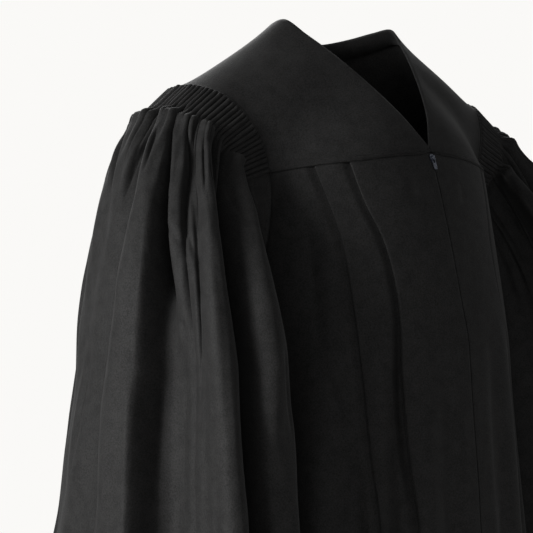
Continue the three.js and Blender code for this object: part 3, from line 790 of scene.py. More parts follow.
@dataclass(frozen=True)
class PanelCut:
    """How a front or the back is cut and pleated, from the centre line to one side."""

    face: Face
    pleats: tuple[SmoothTable, ...]
    centre_columns: int
    between_columns: int
    side_columns: int
    rows: int
    release: float = 11.0
    hem: float = 25.0
    top_z: float = -150.0
    hem_z: float = -1350.0
    seam_fade_z: float = -225.0
    gap_turns: tuple[float, float] = (0.8, 4.6)
    notch_z: tuple[float, float] = (-166.0, -158.0)
    creases: tuple[Crease, ...] = ()
    crease_scale: float = 3.1
    seam_groove: float = 1.1
    drape_height: float = 5.0
    edge_arc: tuple[float, float, int] = (-65, 90, 7)
    tuck_arc: tuple[float, float, int] = (-60, 90, 6)
    edge_lift: float = 0.75
    return_share: float = 0.1

    def heights(self) -> np.ndarray:
        """Heights of the rows, closer together at the top."""
        share = np.linspace(0, 1, self.rows)
        return mix(self.top_z, self.hem_z, share**1.18)

    def stations(self, form: BodyForm, z: np.ndarray, edge_turn: np.ndarray) -> Pair:
        """Turn and depth of each column.

        Args:
            form: the body.
            z: height of each row.
            edge_turn: turn of the last column of each row.

        Returns:
            Turns and depths, rows by columns.
        """
        turns: list[np.ndarray] = []
        depths: list[np.ndarray] = []

        def run(start: np.ndarray, end: np.ndarray, shares: np.ndarray, lift: np.ndarray) -> None:
            """Adds a stretch of the top layer, which lifts towards its end."""
            for share in shares:
                turns.append(mix(start, end, share))
                depths.append(-lift * smooth(share, 0.0, 1.0) ** 2)

        face = self.face
        if face is Face.FRONT:
            half = mix(self.gap_turns[0], self.gap_turns[1], smooth(z, *self.notch_z))
            start = form.degrees(face, z, 0 * z, half)
        else:
            start = 0 * z
        for i, pleat in enumerate(self.pleats):
            edge, tuck, lift, pitch = (pleat.read(z, name) for name in ("turn", "tuck", "lift", "pitch"))
            reach = pitch / 2
            scale = form.degrees(face, z, edge, 1.0 + 0 * z)
            columns = self.between_columns if i else self.centre_columns
            first = np.linspace(0, 1, columns + 1)
            first = first if i == 0 else first[1:]
            run(start, edge - reach * scale, first, lift)
            tall = (pitch + self.edge_lift * lift) / 2
            for angle in np.radians(np.linspace(*self.edge_arc)):
                turns.append(edge + (np.cos(angle) - 1) * reach * scale)
                depths.append(-lift + tall * (1 + np.sin(angle)))
            low = -lift + 2 * tall
            inner = edge - (tuck - reach) * scale
            for share in np.linspace(0, 1, 6)[1:]:
                turns.append(mix(edge - reach * scale, inner, share))
                depths.append(mix(low, pitch, share))
            for angle in np.radians(np.linspace(*self.tuck_arc)):
                turns.append(inner - np.cos(angle) * reach * scale)
                depths.append(pitch + reach * (1 + np.sin(angle)))
            back = self.release * scale
            turned = edge + self.return_share * back
            for share in np.linspace(0, 1, 7)[1:]:
                turns.append(mix(inner, turned, share))
                depths.append(2 * pitch)
            for share in np.linspace(0, 1, 9)[1:]:
                turns.append(mix(turned, edge + back, share))
                depths.append(2 * pitch * (1 - smooth(share, 0, 1)))
            start = edge + back
        run(start, edge_turn, np.linspace(0, 1, self.side_columns + 1)[1:], 0 * z)
        return np.stack(turns, axis=1), np.stack(depths, axis=1)


class Panel:
    """A front half, or one half of the back, as rows of points on the body."""

    side_rows = ((0.2, 1.4), (0.1, 7.0))
    tuck_rows = ((6.0, 3.4), (2.0, 2.2), (0.6, 0.9))
    drape_start = (170, 600)
    drape_growth = (500, 1300)
    drape_least = 0.25
    centre_fade = (1.0, 5.0)
    side_fade = (1.0, 8.0)

    def __init__(self, cut: PanelCut, form: BodyForm, seed: int) -> None:
        """Keeps the cut and draws the cloth's soft unevenness.

        Args:
            cut: how it is pleated.
            form: the body.
            seed: number that the unevenness is drawn from.
        """
        self.cut = cut
        self.form = form
        self.drape = Drape(seed, 14, (6, 26), (300, 1100))

    def places(self) -> np.ndarray:
        """Lays out the half on the wearer's right side.

        Returns:
            Rows by columns of points, from the centre line to the side, with the turned-in edges.
        """
        cut, form, face = self.cut, self.form, self.cut.face
        level = cut.heights()
        corner = form.seams[face].read(90.0, "z")
        fade = 1 - smooth(-level, -cut.top_z, -cut.seam_fade_z)
        edge_z = level + (corner - cut.top_z) * fade
        edge_turn = np.where(edge_z < UNDERARM_Z, 90.0, form.armhole_edges.read(edge_z, face.value))
        turns, depths = cut.stations(form, level, edge_turn)
        z = level[:, None] + (form.seams[face].read(turns, "z") - cut.top_z) * fade[:, None]
        places = form.point(face, z, turns)
        facing = form.facing(face, z, turns)
        grow = mix(self.drape_least, 1.0, smooth(-z, *self.drape_growth))
        grow = smooth(-z, *self.drape_start) * grow
        inner = smooth(turns, *self.centre_fade) * smooth(90 - turns, *self.side_fade)
        height = self.drape.height(turns, z) * cut.drape_height * grow * inner
        for crease in cut.creases:
            height = height + crease.height(turns, z, cut.crease_scale)
        places = places + facing * (height - depths)[..., None]
        side = -1.0 if face is Face.FRONT else 1.0
        places[:, -1, 1] += np.where(edge_z < UNDERARM_Z + 1, side * SEAM_GAP / 4, 0.0)
        places[0] -= facing[0] * cut.seam_groove
        places = self._turn_in_side(places, facing)
        facing = np.concatenate([facing, facing[:, -1:], facing[:, -1:]], axis=1)
        return turned_hem(self._tuck_under_yoke(places, facing), facing[-1], cut.hem, 0.6 * cut.hem)

    def _turn_in_side(self, places: np.ndarray, facing: np.ndarray) -> np.ndarray:
        """Adds the seam allowance that turns inwards along the side."""
        last, wall = places[:, -1], facing[:, -1]
        run = unit(last - places[:, -2])
        extra = [last + out * run - deep * wall for out, deep in self.side_rows]
        return np.concatenate([places, np.stack(extra, axis=1)], axis=1)

    def _tuck_under_yoke(self, places: np.ndarray, facing: np.ndarray) -> np.ndarray:
        """Adds the rows that lie under the yoke's edge."""
        up = np.array([0.0, 0.0, 1.0])
        rows = [places[0] + high * up - deep * facing[0] for high, deep in self.tuck_rows]
        return np.concatenate([np.stack(rows), places])


def turned_hem(places: np.ndarray, wall: np.ndarray, hem: float, fold: float) -> np.ndarray:
    """Adds a hem, folded up on the inside, as HEM_ROWS rows after the last one.

    Args:
        places: rows by columns of points.
        wall: direction in which the cloth faces at the lower edge, for each column.
        hem: height of the hem.
        fold: height of the row before its last one.

    Returns:
        The grid with its hem.
    """
    step = float(np.linalg.norm(places[-1] - places[-3], axis=-1).mean())
    rows = [places]
    for up, inward in ((-0.2, 0.55), (0.5, 1.1), (6, 1.35), (fold, 1.35), (hem, 1.2)):
        base = mix(places[-1], places[-3], max(up, 0.0) / step)
        rows.append((base - inward * wall)[None])
    return np.concatenate(rows)


def mirrored(places: np.ndarray) -> np.ndarray:
    """The points on the other side of the gown, with the columns in reverse."""
    return (places * MIRROR)[:, ::-1]


def joined(right: np.ndarray, left: np.ndarray) -> np.ndarray:
    """One grid from two halves that are both laid out on the right, from the centre line on."""
    return np.concatenate([right[:, ::-1], (left * MIRROR)[:, 1:]], axis=1)


def wrapped(turn: np.ndarray) -> np.ndarray:
    """The same turns around a sleeve, between UNDER_TURN and CORNER_TURN."""
    around = np.where(turn > CORNER_TURN, turn - 360, turn)
    return np.where(around < UNDER_TURN, around + 360, around)


def hang_cloth(piece: bpy.types.Object, node: str) -> None:
    """Lets a piece of cloth ride on the gown in place of its solid."""
    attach(piece, "gown")
    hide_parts(node)


class ArmholeSeam:
    """Seam of the right sleeve. The turn is 150 at the front corner of the yoke and -150 at the back one."""

    path_rows: Rows = [
        (-147, -37, -165.5, -0.8, -0.6, 0),
        (-156, -36, -137, -0.78, -0.6, 0.18),
        (-165, -30, -118, -0.74, -0.56, 0.38),
        (-176, -17, -98, -0.66, -0.46, 0.6),
        (-184, -5, -88, -0.58, -0.32, 0.75),
        (-193, 18, -80, -0.48, -0.12, 0.87),
        (-198, 42, -78.5, -0.44, 0.05, 0.9),
        (-195, 62, -84, -0.5, 0.25, 0.83),
        (-185, 76, -98, -0.6, 0.45, 0.66),
        (-171, 84, -120, -0.66, 0.62, 0.42),
        (-159, 85, -142, -0.68, 0.7, 0.2),
        (-152.5, 82, -160, -0.7, 0.71, 0),
    ]
    back_heights = (-160, -177, -185, -225, -260, -292, -322)
    front_heights = (-322, -292, -260, -225, -190.5, -182.5, -165.5)

    def __init__(self, form: BodyForm) -> None:
        """Joins the yoke's part of the seam with the edges of the front and the back.

        Args:
            form: the body.
        """
        rows = [list(row) for row in self.path_rows]
        for i, face in ((0, Face.FRONT), (-1, Face.BACK)):
            z = rows[i][2]
            turn = form.armhole_edges.read(z, face.value)
            rows[i] = [*form.point(face, z, turn), *form.facing(face, z, turn)]
        path = SmoothPath(rows)
        self.turns = np.arange(UNDER_TURN, CORNER_TURN + 0.01, 0.5)
        upper = path.at((CORNER_TURN - self.turns) / (2 * CORNER_TURN))
        places, facing = upper[:, :3], unit(upper[:, 3:])
        lower = self.turns < -CORNER_TURN
        on_back = self.turns > -180.0
        for face, chosen, knots, heights in (
            (Face.BACK, lower & on_back, np.arange(-150, -181, -5.0), self.back_heights),
            (Face.FRONT, lower & ~on_back, np.arange(-180, -211, -5.0), self.front_heights),
        ):
            z = np.interp(-self.turns[chosen], -knots, heights)
            turn = form.armhole_edges.read(z, face.value)
            places[chosen] = form.point(face, z, turn)
            facing[chosen] = form.facing(face, z, turn)
        self.places, self.facing = places, facing
        reach = 14
        ahead = np.concatenate([places, places[1 : reach + 1]])[reach:][: len(places)]
        behind = np.concatenate([places[-reach - 1 : -1], places])[: len(places)]
        self.leaving = unit(np.cross(unit(ahead - behind), facing))

    def at(self, turn: np.ndarray) -> tuple[np.ndarray, np.ndarray, np.ndarray]:
        """Reads the seam.

        Args:
            turn: degrees around the sleeve.

        Returns:
            Place, direction in which the cloth faces, and direction in which the sleeve leaves.
        """
        around = wrapped(turn)

        def read(values: np.ndarray) -> np.ndarray:
            """Reads the seam's values there."""
            return np.stack([np.interp(around, self.turns, column) for column in values.T], axis=-1)

        return read(self.places), unit(read(self.facing)), unit(read(self.leaving))


@dataclass(frozen=True)
class Stitching:
    """A row of machine stitches along a hem."""

    length: float = 2.9
    pitch: float = 4.4
    width: float = 0.62
    flatness: float = 0.6
    proud: float = 0.5
    sides: int = 6
    profile: tuple[tuple[float, float], ...] = ((-0.5, 0.3), (-0.36, 0.95), (0.36, 0.95), (0.5, 0.3))

    @staticmethod
    def hem_row(places: np.ndarray, hem: float) -> int:
        """Finds the row that is sewn.

        Args:
            places: rows by columns of points, with the turned-up hem.
            hem: height of the hem, in millimetres.

        Returns:
            The row on the outside that lies nearest to nine tenths of the hem's height.
        """
        outside = places[: len(places) - HEM_ROWS]
        steps = np.linalg.norm(np.diff(outside, axis=0), axis=-1).mean(axis=1)
        above = np.cumsum(steps[::-1])[::-1]
        return int(np.argmin(np.abs(above - 0.9 * hem)))

    def build(
        self, name: str, line: np.ndarray, facing: np.ndarray, inside: np.ndarray, finish: bpy.types.Material
    ) -> bpy.types.Object:
        """Sews the row.

        Args:
            name: the object's name.
            line: the points that the row follows on the middle of the cloth.
            facing: direction square to the cloth at each point, of either sign.
            inside: a point inside the garment, from which the outside faces away.
            finish: the thread's material.

        Returns:
            The stitches as one object that rides on the gown.
        """
        outward = facing * np.sign(((line - inside) * facing).sum(axis=-1).mean())
        run = np.concatenate([[0.0], np.cumsum(np.linalg.norm(np.diff(line, axis=0), axis=-1))])
        stops = np.arange(self.pitch / 2, run[-1] - self.pitch / 2, self.pitch)

        def at(values: np.ndarray, places: np.ndarray) -> np.ndarray:
            """Reads values along the run."""
            return np.stack([np.interp(places, run, column) for column in values.T], axis=-1)

        spots, out = at(line, stops), unit(at(outward, stops))
        along = unit(at(line, stops + 1.0) - at(line, stops - 1.0))
        across = unit(np.cross(along, out))
        angles = np.linspace(0, 2 * np.pi, self.sides + 1)[:-1]
        rings = []
        for share, swell in self.profile:
            middle = spots + along * share * self.length + out * (self.proud + 0.12 * swell)
            for angle in angles:
                spoke = across * np.cos(angle) + out * self.flatness * np.sin(angle)
                rings.append(middle + spoke * self.width / 2 * swell)
        points = np.stack(rings, axis=1)
        side = np.arange(self.sides)
        after = np.roll(side, -1)
        quads = [
            np.stack([side, after, after + self.sides, side + self.sides], axis=1) + ring * self.sides
            for ring in range(len(self.profile) - 1)
        ]
        last = (len(self.profile) - 1) * self.sides
        cap = np.array([[0, 5, 4, 3], [0, 3, 2, 1]])
        one = np.concatenate([*quads, cap, last + (6 - cap) % 6])
        each = points.shape[1]
        faces = (one[None] + np.arange(len(stops))[:, None, None] * each).reshape(-1, 4)
        piece = mesh_object(name, points.reshape(-1, 3), faces, np.zeros((len(faces), 4, 2)), finish)
        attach(piece, "gown")
        return piece


@dataclass
class Yoke:
    """The yoke, from the neckline to the front, armhole and back seams."""

    neckline: tuple[tuple[float, float, float], ...] = (
        (-0.8, -112, -137.5),
        (-19, -92, -106),
        (-38, -62, -72),
        (-55, -30, -42),
        (-68, -4, -21),
        (-76, 18, -5),
        (-73, 42, -7),
        (-60, 64, -13),
        (-36, 79, -19),
        (0, 85, -22),
    )
    front_share: float = 0.34
    armhole_share: float = 0.46
    rows: int = 44
    columns: tuple[int, int, int] = (60, 100, 50)
    smoothing: int = 160
    smoothing_rows: int = 9
    smoothing_rate: float = 0.6
    zip_gap: float = 1.0
    thickness: float = 1.2
    roll_rows: tuple[float, ...] = (4.2, 3.4, 2.7, 2.0, 1.4, 0.9, 0.45, 0.0)
    roll: tuple[float, float, float] = (1.2, 0.7, 1.1)
    groove: tuple[float, float, float] = (0.45, 3.0, 0.8)
    lip_rows: tuple[tuple[float, float], ...] = ((0.7, 0.5), (0.5, 1.3), (-5.0, 1.9))
    swell_rows: tuple[tuple[float, ...], ...] = (
        (0, 0, 0, 0),
        (0.2, -4, -12, 8),
        (0.28, -14, -14, 4),
        (0.34, -30, -16, -2),
        (0.41, -20, -12, 10),
        (0.5, -3, -2, 5),
        (0.6, 0, 0, 2),
        (0.7, -3, 4, 5),
        (0.8, -22, 16, 4),
        (0.9, -8, 14, 6),
        (1, 0, 12, 6),
    )

    def edge(self, form: BodyForm, seam: ArmholeSeam) -> tuple[np.ndarray, np.ndarray, np.ndarray]:
        """The lower edge on the wearer's right.

        Args:
            form: the body.
            seam: the armhole.

        Returns:
            Shares of the neckline above each column, places and facing directions.
        """
        front, above, back = (np.linspace(0, 1, count + 1) for count in self.columns)
        turns = front * form.armhole_edges.read(-165.5, "front")
        z = form.seams[Face.FRONT].read(turns, "z") + SEAM_GAP / 2
        first = form.point(Face.FRONT, z, turns), form.facing(Face.FRONT, z, turns)
        place, facing, leaving = seam.at(CORNER_TURN - 2 * CORNER_TURN * above[1:-1])
        second = place - leaving * SEAM_GAP / 4, facing
        turns = back[::-1] * form.armhole_edges.read(-160.0, "back")
        z = form.seams[Face.BACK].read(turns, "z") + SEAM_GAP / 2
        third = form.point(Face.BACK, z, turns), form.facing(Face.BACK, z, turns)
        shares = np.concatenate(
            [
                front * self.front_share,
                self.front_share + above[1:-1] * self.armhole_share,
                mix(self.front_share + self.armhole_share, 1.0, back),
            ]
        )
        places = np.concatenate([first[0], second[0], third[0]])
        facings = np.concatenate([first[1], second[1], third[1]])
        return shares, places, unit(facings)

    def build(self, form: BodyForm, seam: ArmholeSeam, wardrobe: Wardrobe) -> bpy.types.Object:
        """Makes the yoke.

        Args:
            form: the body.
            seam: the armhole.
            wardrobe: the finishes.

        Returns:
            The yoke.
        """
        shares, low, facing = self.edge(form, seam)
        swell = SmoothTable("share x y z", [tuple(row) for row in self.swell_rows])
        top = SmoothPath([tuple(row) for row in self.neckline]).at(shares)
        middle = (top + low) / 2 + np.stack([swell.read(shares, axis) for axis in "xyz"], axis=-1)
        t = np.linspace(0, 1, self.rows)[:, None, None]
        half = (1 - t) ** 2 * top + 2 * t * (1 - t) * middle + t**2 * low
        full = np.concatenate([half, mirrored(half)[:, 1:]], axis=1)
        centre = half.shape[1] - 1
        ease = smooth(np.arange(1, self.rows - 1), 0, self.smoothing_rows) * self.smoothing_rate
        for _ in range(self.smoothing):
            calm = (full[:-2, 1:-1] + full[2:, 1:-1] + full[1:-1, :-2] + full[1:-1, 2:]) / 4
            full[1:-1, 1:-1] = mix(full[1:-1, 1:-1], calm, ease[:, None, None])
        full[:, 0, 0], full[:, -1, 0] = -self.zip_gap / 2, self.zip_gap / 2
        facing = np.concatenate([facing, mirrored(facing[None])[0, 1:]])
        facing[centre] = unit(facing[centre] * np.array([0.0, 1.0, 1.0]))
        full = self._roll_edge(full, facing)
        proud = full[-1]
        down = unit(full[-1] - full[-3])
        lip = [proud + down * low - facing * deep for low, deep in self.lip_rows]
        places = np.concatenate([self._facing_strip(full), full, np.stack(lip)])
        piece = ClothGrid(places, thickness=self.thickness).solid("yoke_cloth", wardrobe.cloth)
        hang_cloth(piece, "yoke")
        return piece

    def _roll_edge(self, full: np.ndarray, facing: np.ndarray) -> np.ndarray:
        """Adds close rows along the lower edge, which stands proud as a narrow roll.

        Args:
            full: rows by columns of points.
            facing: direction in which the edge faces, for each column.

        Returns:
            The grid with the roll and the groove above it.
        """
        last = full[-1]
        length = np.linalg.norm(full[-3] - last, axis=-1, keepdims=True)
        wall = unit(grid_facing(full, False)[-3] + facing)
        wall = wall * np.sign((wall * facing).sum(axis=-1, keepdims=True))
        rows = [full[:-2]]
        (rise, *roll), (sink, *groove) = self.roll, self.groove
        for away in self.roll_rows:
            height = rise * bell(away, *roll) - sink * bell(away, *groove)
            share = np.minimum(away / length, 1.0)
            rows.append((mix(last, full[-3], share) + (wall if away > 0.5 else facing) * height)[None])
        return np.concatenate(rows)

    @staticmethod
    def _facing_strip(full: np.ndarray) -> np.ndarray:
        """The facing that is turned in behind the neckline."""
        inward = -grid_facing(full, False)
        centre = full.mean(axis=(0, 1))
        sign = np.sign(((centre - full[0]) * inward[0]).sum(axis=-1).mean())
        inward = inward * (sign if sign else 1.0)
        outward = unit(full[1] - full[0])
        steps = np.linalg.norm(np.diff(full, axis=0), axis=-1)
        runs = np.concatenate([np.zeros((1, full.shape[1])), np.cumsum(steps, axis=0)])
        rows = []
        for away, deep in ((22.0, 1.9), (10.0, 1.7)):
            row = np.empty_like(full[0])
            for column, run in enumerate(runs.T):
                place = min(away, 0.55 * run[-1])
                spot, wall = (
                    np.array([np.interp(place, run, values[:, column, axis]) for axis in range(3)])
                    for values in (full, inward)
                )
                row[column] = spot + unit(wall) * deep
            rows.append(row)
        for away, deep in ((1.2, 1.5), (-0.3, 0.8)):
            rows.append(full[0] + outward * away + inward[0] * deep)
        return np.stack(rows)


@dataclass(frozen=True)
class FoldLine:
    """One ridge or hollow down the sleeve: turn and height at each level of FoldMap."""

    turns: tuple[float, ...]
    heights: tuple[float, ...]
    crisp: float = 0.3


class FoldMap:
    """Height of the sleeve's long folds."""

    levels = (-127.0, -157.0, -196.0, -234.0, -290.0, -381.0, -472.0, -660.0)
    low, high, row_step = -660.0, -90.0, 5.0
    per_degree = 4
    crisp_from = 0.5
    steepness = 1.4

    def __init__(self, lines: list[FoldLine]) -> None:
        """Draws the folds on a fine map.

        Args:
            lines: ridges and hollows from the front corner round the outside to the back and underarm.
        """
        rows = round((self.high - self.low) / self.row_step) + 1
        columns = round((CORNER_TURN - UNDER_TURN) * self.per_degree) + 1
        self.z = np.linspace(self.low, self.high, rows)
        self.turn = np.linspace(UNDER_TURN, CORNER_TURN, columns)
        turns, heights = (
            np.stack([SmoothTable("z v", list(zip(self.levels, row))).read(self.z, "v") for row in table])
            for table in ([line.turns for line in lines], [line.heights for line in lines])
        )
        crisp = np.array([line.crisp for line in lines])
        self.map = np.stack(
            [self._across(turns[::-1, row], heights[::-1, row], crisp[::-1]) for row in range(len(self.z))]
        )

    def _across(self, knots: np.ndarray, tops: np.ndarray, crisp: np.ndarray) -> np.ndarray:
        """Heights along one level, smooth through each line and bent sharply at the crisp ones."""
        gaps = np.maximum(np.diff(knots), 1e-3)
        rises = np.diff(tops) / gaps
        before, after = rises[:-1], rises[1:]
        same = before * after > 0
        total = np.where(same, before + after, 1.0)
        middle = np.where(same, 2 * before * after / total, 0.0)
        slopes = np.concatenate([[0.0], middle, [0.0]])
        sharp = np.where(crisp > self.crisp_from, crisp, 0.0)
        leave, arrive = slopes.copy(), slopes.copy()
        leave[:-1] += (rises * self.steepness - slopes[:-1]) * sharp[:-1]
        arrive[1:] += (rises * self.steepness - slopes[1:]) * sharp[1:]
        i = np.clip(np.searchsorted(knots, self.turn, side="right") - 1, 0, len(knots) - 2)
        t = np.clip((self.turn - knots[i]) / gaps[i], 0, 1)
        return (
            tops[i] * (1 + 2 * t) * (1 - t) ** 2
            + tops[i + 1] * t**2 * (3 - 2 * t)
            + gaps[i] * (leave[i] * t * (1 - t) ** 2 - arrive[i + 1] * t**2 * (1 - t))
        )

    def height(self, turn: np.ndarray, z: np.ndarray) -> np.ndarray:
        """Height of the folds.

        Args:
            turn: degrees around the sleeve, from -210 to 150.
            z: height on the sleeve.

        Returns:
            Millimetres along the direction in which the cloth faces.
        """
        across = np.clip((turn - UNDER_TURN) * self.per_degree, 0, len(self.turn) - 1.001)
        up = (np.clip(z, self.low, self.high) - self.low) / self.row_step
        up = np.clip(up, 0, len(self.z) - 1.001)
        i, j = up.astype(int), across.astype(int)
        s, t = up - i, across - j
        return (
            self.map[i, j] * (1 - s) * (1 - t)
            + self.map[i + 1, j] * s * (1 - t)
            + self.map[i, j + 1] * (1 - s) * t
            + self.map[i + 1, j + 1] * s * t
        )


SLEEVE_FOLDS = [
    FoldLine((150,) * 8, (-14, -24, -30, -32, -32, -32, -30, -28)),
    FoldLine((140,) * 8, (-12, -22, -30, -34, -34, -34, -32, -30)),
    FoldLine((128, 129, 126, 125, 119, 119, 129, 131), (-8, -16, -26, -32, -34, -34, -32, -30)),
    FoldLine((121, 121, 117, 114, 107, 109, 118, 122), (4, 5, 6, 6, 4, 1, 0, 2)),
    FoldLine((113, 114, 108, 101, 94, 96, 105, 111), (7, 10, 11, 10, 8, 4, 2, 4)),
    FoldLine((101, 98, 94, 85, 81, 82, 91, 97), (-4, -10, -13, -13, -11, -10, -10, -8)),
    FoldLine((95, 92, 88, 80, 76, 76.5, 85, 91), (-8, -20, -32, -42, -46, -50, -48, -44)),
    FoldLine((84, 82, 79, 73, 70, 72, 79, 84), (1, -6, -22, -44, -50, -54, -52, -46)),
    FoldLine((72, 71, 68, 65.5, 65, 67, 71, 75), (-5, -16, -32, -42, -48, -52, -50, -44)),
    FoldLine((66, 64.5, 62.5, 61, 60.5, 62.3, 66, 70), (5, 5.5, 6, 6, 6, 6, 6, 6)),
    FoldLine((58.5, 59, 57.5, 56.5, 56, 58, 62, 65), (6, 6.5, 7, 7, 7, 7, 7, 7)),
    FoldLine((46, 49, 50.5, 48.5, 47, 47.5, 49, 51), (-2, -3, -4, -5, -7, -9, -9, -9), 0.95),
    FoldLine((42, 45.5, 44, 43, 42, 43, 44, 46), (4, -5, -4, -4, -9, -14, -14, -13)),
    FoldLine((38.5, 42, 38.5, 38, 38.5, 39.5, 40, 42), (-4, -22, -20, -9, -15, -20, -20, -18), 0.8),
    FoldLine((36, 38.5, 35.5, 35, 35.5, 36, 37, 38.5), (4, 4, 0, -3, -14, -21, -21, -19)),
    FoldLine((26, 30, 29, 29, 30.5, 30.5, 31.5, 33), (4, 4, 1, -4, -18, -27, -27, -24)),
    FoldLine((24.5, 27.5, 26, 25.5, 25, 23, 24, 26.5), (-7, -16, -32, -40, -27, -31, -31, -28), 0.1),
    FoldLine((22.5, 25.5, 23, 21.5, 19.5, 16.5, 17.5, 20), (-8, -20, -36, -44, -24, -26, -26, -24), 0.1),
    FoldLine((20, 21.5, 18.5, 16.5, 14.5, 11.5, 12.5, 15), (7, 8, 8, 8, 8, 9, 9, 9)),
    FoldLine((8, 9, 9, 6, 4, 1, 2, 4), (8, 9, 9, 9, 9, 9.5, 9.5, 10)),
    FoldLine((0, 1, 2, -2, -5, -12, -8, -8), (-9, -7, -4, -5, -4.5, -4, -4, -4), 0.9),
    FoldLine((-16, -18, -22, -27, -30, -32, -33, -33), (5, 4, 0, -2, -3, 1, 2, 4)),
    FoldLine((-44, -44, -45, -46, -47, -48, -49, -49), (4, 2, -3, -5, -5, -1, 0, 3)),
    FoldLine((-56, -57, -58, -58, -58, -58, -58, -58), (-8, -14, -22, -28, -30, -34, -34, -30), 0.4),
    FoldLine((-66, -66, -67, -68, -68, -68, -68, -68), (4, 3, 2, 1, 2, 4, 6, 8)),
    FoldLine((-88, -89, -91, -93, -94, -95, -96, -96), (5, 5, 4, 4, 5, 7, 8, 9)),
    FoldLine((-106,) * 8, (-9, -16, -26, -34, -38, -40, -38, -34), 0.4),
    FoldLine((-118, -117, -116, -115, -114, -114, -114, -114), (4, 5, 5, 5, 6, 7, 8, 9)),
    FoldLine((-136, -137, -138, -140, -141, -142, -142, -142), (5, 5, 5, 5, 6, 7, 8, 9)),
    FoldLine((-156,) * 8, (-8, -14, -18, -22, -24, -24, -22, -20), 0.4),
    FoldLine((-180,) * 8, (-3, -4, -4, -3, -3, -3, -3, -3)),
    FoldLine((-210,) * 8, (-14, -24, -30, -32, -32, -32, -30, -28)),
]


SLEEVE_CREASES = [
    Crease((38, -232), (26, -214), 1.8, 2.6),
    Crease((40, -226), (47, -246), 1.4, 3.0),
    Crease((31, -262), (40, -240), 1.3, 3.2),
    Crease((30, -296), (36, -330), 1.2, 4.0),
    Crease((84, -160), (92, -196), 1.6, 3.0),
    Crease((100, -166), (94, -240), 1.4, 3.4),
    Crease((84, -196), (80, -280), 1.0, 4.0),
    Crease((57, -140), (55, -200), 2.0, 2.4),
    Crease((66, -140), (63, -182), 1.8, 2.2),
    Crease((46, -190), (44, -420), 1.6, 2.2),
    Crease((12, -128), (10, -176), 2.2, 2.4),
    Crease((-4, -126), (-5, -196), 2.4, 2.8),
    Crease((2, -290), (-12, -236), 1.2, 4.5),
    Crease((-10, -360), (-2, -420), 1.2, 5.0),
    Crease((12, -330), (16, -470), 1.4, 4.0),
    Crease((-22, -330), (-27, -470), 1.6, 4.5),
    Crease((-26, -122), (-24, -190), 2.6, 2.8),
    Crease((-42, -130), (-40, -220), 2.4, 3.0),
    Crease((-70, -132), (-74, -220), 2.2, 3.2),
    Crease((-92, -140), (-88, -240), 2.4, 3.0),
    Crease((-84, -260), (-76, -330), 1.4, 5.0),
    Crease((-118, -150), (-114, -260), 2.2, 3.0),
    Crease((-136, -170), (-134, -280), 1.8, 3.0),
    Crease((-120, -330), (-128, -430), 1.5, 4.6),
    Crease((100, -330), (106, -430), 1.2, 5.0),
    Crease((75, -400), (84, -520), 1.3, 5.0),
    Crease((52, -440), (55, -560), 1.2, 4.0),
    Crease((-60, -420), (-52, -540), 1.4, 5.0),
    Crease((-168, -380), (-160, -500), 1.6, 6.0),
]


